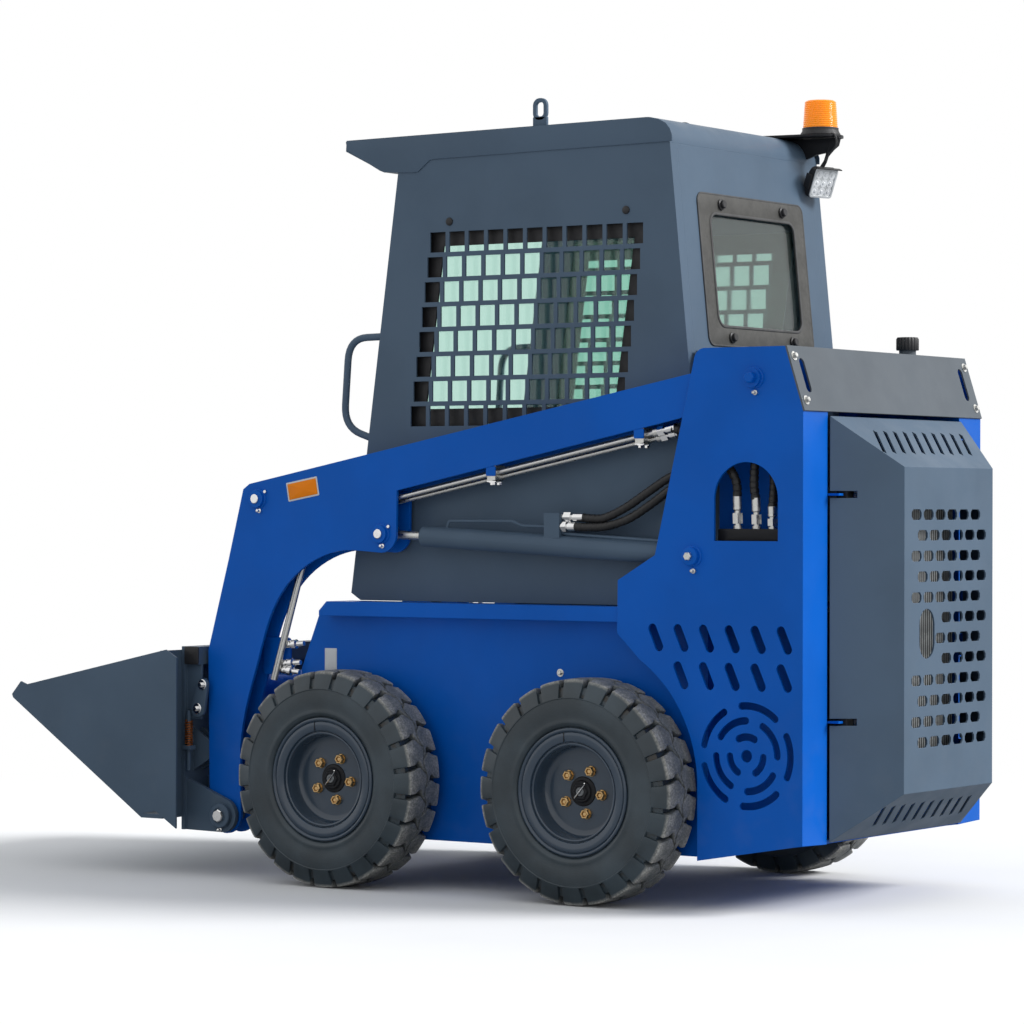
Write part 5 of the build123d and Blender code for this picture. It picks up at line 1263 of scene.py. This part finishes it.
def pad(name, node, size, plane):
    """Stuffed pad: a squared-off ellipsoid with a crowned face and sewn channels pressed into it.

    With longitude u and latitude w the point is a * cos^k(w) * cos^k(u) across,
    b * cos^k(w) * sin^k(u) up and c * sin^k(w) out, less 5 mm along each channel.
    """
    longitude = np.linspace(0, 2 * pi, 97)[:-1]
    latitude = np.linspace(-pi / 2, pi / 2, 41)[:, None]
    reach = rounded_power(np.cos(latitude), 0.32)
    x = size[0] * reach * rounded_power(np.cos(longitude), 0.34)
    y = size[1] * reach * rounded_power(np.sin(longitude), 0.34)
    z = np.broadcast_to(size[2] * rounded_power(np.sin(latitude), 0.5), x.shape)
    crown = 1 - PAD_CROWN * ((x / size[0]) ** 2 + (y / size[1]) ** 2) / 2
    groove = sum(np.exp(-(((x - middle) / CHANNEL_WIDTH) ** 2)) for middle in CHANNELS)
    sewn = (np.abs(y) < 0.86 * size[1]) * (z > 0.5 * size[2])
    z = np.where(z > 0, z * crown - CHANNEL_DEPTH * groove * sewn, z)
    origin, across, up, out = plane
    points = origin + (x[..., None] * across + y[..., None] * up + z[..., None] * out) * MM
    piece = solid(name, [(points, False, True)], "seat_cover", "chassis")
    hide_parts(node)


def seat():
    """Cushion and back as sewn pads."""
    pad("seat_cushion_pad", "seat_cushion", SEAT_SIZE, (at(0, *SEAT_MIDDLE), ACROSS, ALONG, UP))
    rise = np.array([0, *BACK_RISE]) / np.hypot(*BACK_RISE)
    leaning = (at(0, *BACK_MIDDLE), -ACROSS, rise, np.cross(-ACROSS, rise))
    pad("seat_back_pad", "seat_back", BACK_SIZE, leaning)


def lever_boots():
    """Ribbed rubber boot at the foot of each drive lever."""
    ribs = [(34 - 3.2 * rib + (3 if rib % 2 else 0), 6 * rib) for rib in range(9)]
    boots = [lathe([*ribs, (0, 50)], at(side * BOOT_X, *BOOT_PLACE), BOOT_AXIS) for _, side in HANDS]
    solid("lever_boots", boots, "gasket", "chassis")


seat()
lever_boots()


# Plates, screws, caps and the guard's latches
WHITE_PLATE = (-99.5, 612.5)
ORANGE_PLATE = (-161, 1082)
ORANGE_LEAN = 10
PANEL_TOP = (1374, 1442)
PANEL_FOOT = (1427, 1277)
PANEL_SCREWS = ((-470, 0.16), (470, 0.16), (-470, 0.84), (470, 0.84))
BEAM_END = (-530, 615)
BEAM_X = 505
LATCH_HEIGHTS = (487, 1067)
GUARD_LATCH = (317, 1452)
GUARD_LATCH_BLOCK = (36, 24, 30)


def plates():
    """Blank white plate on the drive case and blank orange plate with a white edge on the arm."""
    small = slab(rounded(41, 61, 2), 0.8, 0.2, side_view(FRAME_X, 1, WHITE_PLATE))
    solid("white_plate", [small], "plate_white", "chassis")
    edge = slab(rounded(108, 53, 3), 0.8, 0.2, side_view(ARM_X, 1, ORANGE_PLATE, ORANGE_LEAN))
    solid("arm_plate", [edge], "plate_white", "boom")
    face = slab(rounded(99, 44, 2), 0.5, 0.1, side_view(ARM_X + 0.8, 1, ORANGE_PLATE, ORANGE_LEAN))
    solid("arm_plate_face", [face], "plate_orange", "boom")


def panel_screws():
    """Hexagon screws at the corners of the slanted rear panel."""
    run = np.array(PANEL_FOOT) - PANEL_TOP
    out = np.array([0, -run[1], run[0]]) / np.hypot(*run)
    grids = []
    for x, share in PANEL_SCREWS:
        grids += hex_bolt(at(x, *(np.array(PANEL_TOP) + share * run)) + out * 5 * MM, out, 13)
    solid("panel_screws", grids, "steel", "chassis")


def beam_caps():
    """Dark caps on the ends of the coupler's square tube."""
    caps = [slab(rounded(50, 50, 5) + BEAM_END, 4, 1.4, side_view(BEAM_X, side)) for _, side in HANDS]
    solid("beam_caps", caps, "black_plastic", "bucket_unit")


def guard_latches():
    """Latch block behind each notch of the guard's side."""
    x, station = GUARD_LATCH
    width, height, deep = GUARD_LATCH_BLOCK
    blocks = [slab(rounded(width, height, 3), deep, 1, facing(at(x, station - deep / 2, z), (0, 1, 0)))
              for z in LATCH_HEIGHTS]
    solid("guard_latches", blocks, "black_steel", "guard_door")


for build in (plates, panel_screws, beam_caps, guard_latches):
    build()


# Studio
FLOOR_SIZE = 60
FLOOR_SEEN = (0.90, 0.90, 0.90, 1), (0.95, 0.95, 0.95, 1)
FLOOR_BOUNCE = (0.45, 0.45, 0.45, 1)
FLOOR_FADE = (1.6, 4.2)
KEY_FROM = (-0.42, 0.72, 0.55)
KEY_STRENGTH = 3.0
KEY_ANGLE = 22
SKY = (0.93, 0.96, 1.0, 1)
SKY_STRENGTH = 0.66
WHITE = (1, 1, 1, 1)


def studio_floor():
    """Pale floor that fades to white away from the machine and sends back less light than it shows."""
    bpy.ops.mesh.primitive_plane_add(size=FLOOR_SIZE, location=(0, 0, 0))
    floor = bpy.context.object
    floor.name = "floor"
    pale = Finish("floor", (0.93, 0.93, 0.93), 0.9, Specular_IOR_Level=0.1)
    light = pale.tint(pale.noise(2.0, 4), *FLOOR_SEEN)
    away = pale.add("VectorMath", (pale.place,), operation="LENGTH").outputs["Value"]
    camera_ray = pale.add("LightPath").outputs["Is Camera Ray"]
    pale.colour(pale.tint(camera_ray, FLOOR_BOUNCE, light))
    seen = pale.sum("MULTIPLY", pale.band(away, *FLOOR_FADE), camera_ray)
    white = pale.add("Emission", (WHITE, 1.0)).outputs[0]
    pale.end(pale.add("MixShader", (seen, pale.shader.outputs[0], white)), "Material Output")
    floor.data.materials.append(pale.material)


def lights():
    """One broad key lamp from behind and above on the far side, and a soft surround.

    The surround is white for the camera, through glass and in reflections,
    and a dimmer sky for all else.
    """
    key = bpy.data.lights.new("key", "SUN")
    key.energy = KEY_STRENGTH
    key.angle = radians(KEY_ANGLE)
    lamp = bpy.data.objects.new("key", key)
    lamp.rotation_euler = Vector(KEY_FROM).to_track_quat("Z", "Y").to_euler()
    bpy.context.scene.collection.objects.link(lamp)
    world = bpy.data.worlds.new("surround")
    world.use_nodes = True
    bpy.context.scene.world = world
    surround = Wiring(world.node_tree)
    sky = world.node_tree.nodes["Background"]
    for socket, value in zip(sky.inputs, (SKY, SKY_STRENGTH)):
        surround.fill(socket, value)
    plain = surround.add("Background", (WHITE, 1.0))
    rays = surround.add("LightPath").outputs
    seen = surround.sum("MAXIMUM", rays["Is Camera Ray"], rays["Is Transmission Ray"])
    seen = surround.sum("MAXIMUM", seen, rays["Is Glossy Ray"])
    surround.end(surround.add("MixShader", (seen, sky.outputs[0], plain.outputs[0])), "World Output")


studio_floor()
lights()
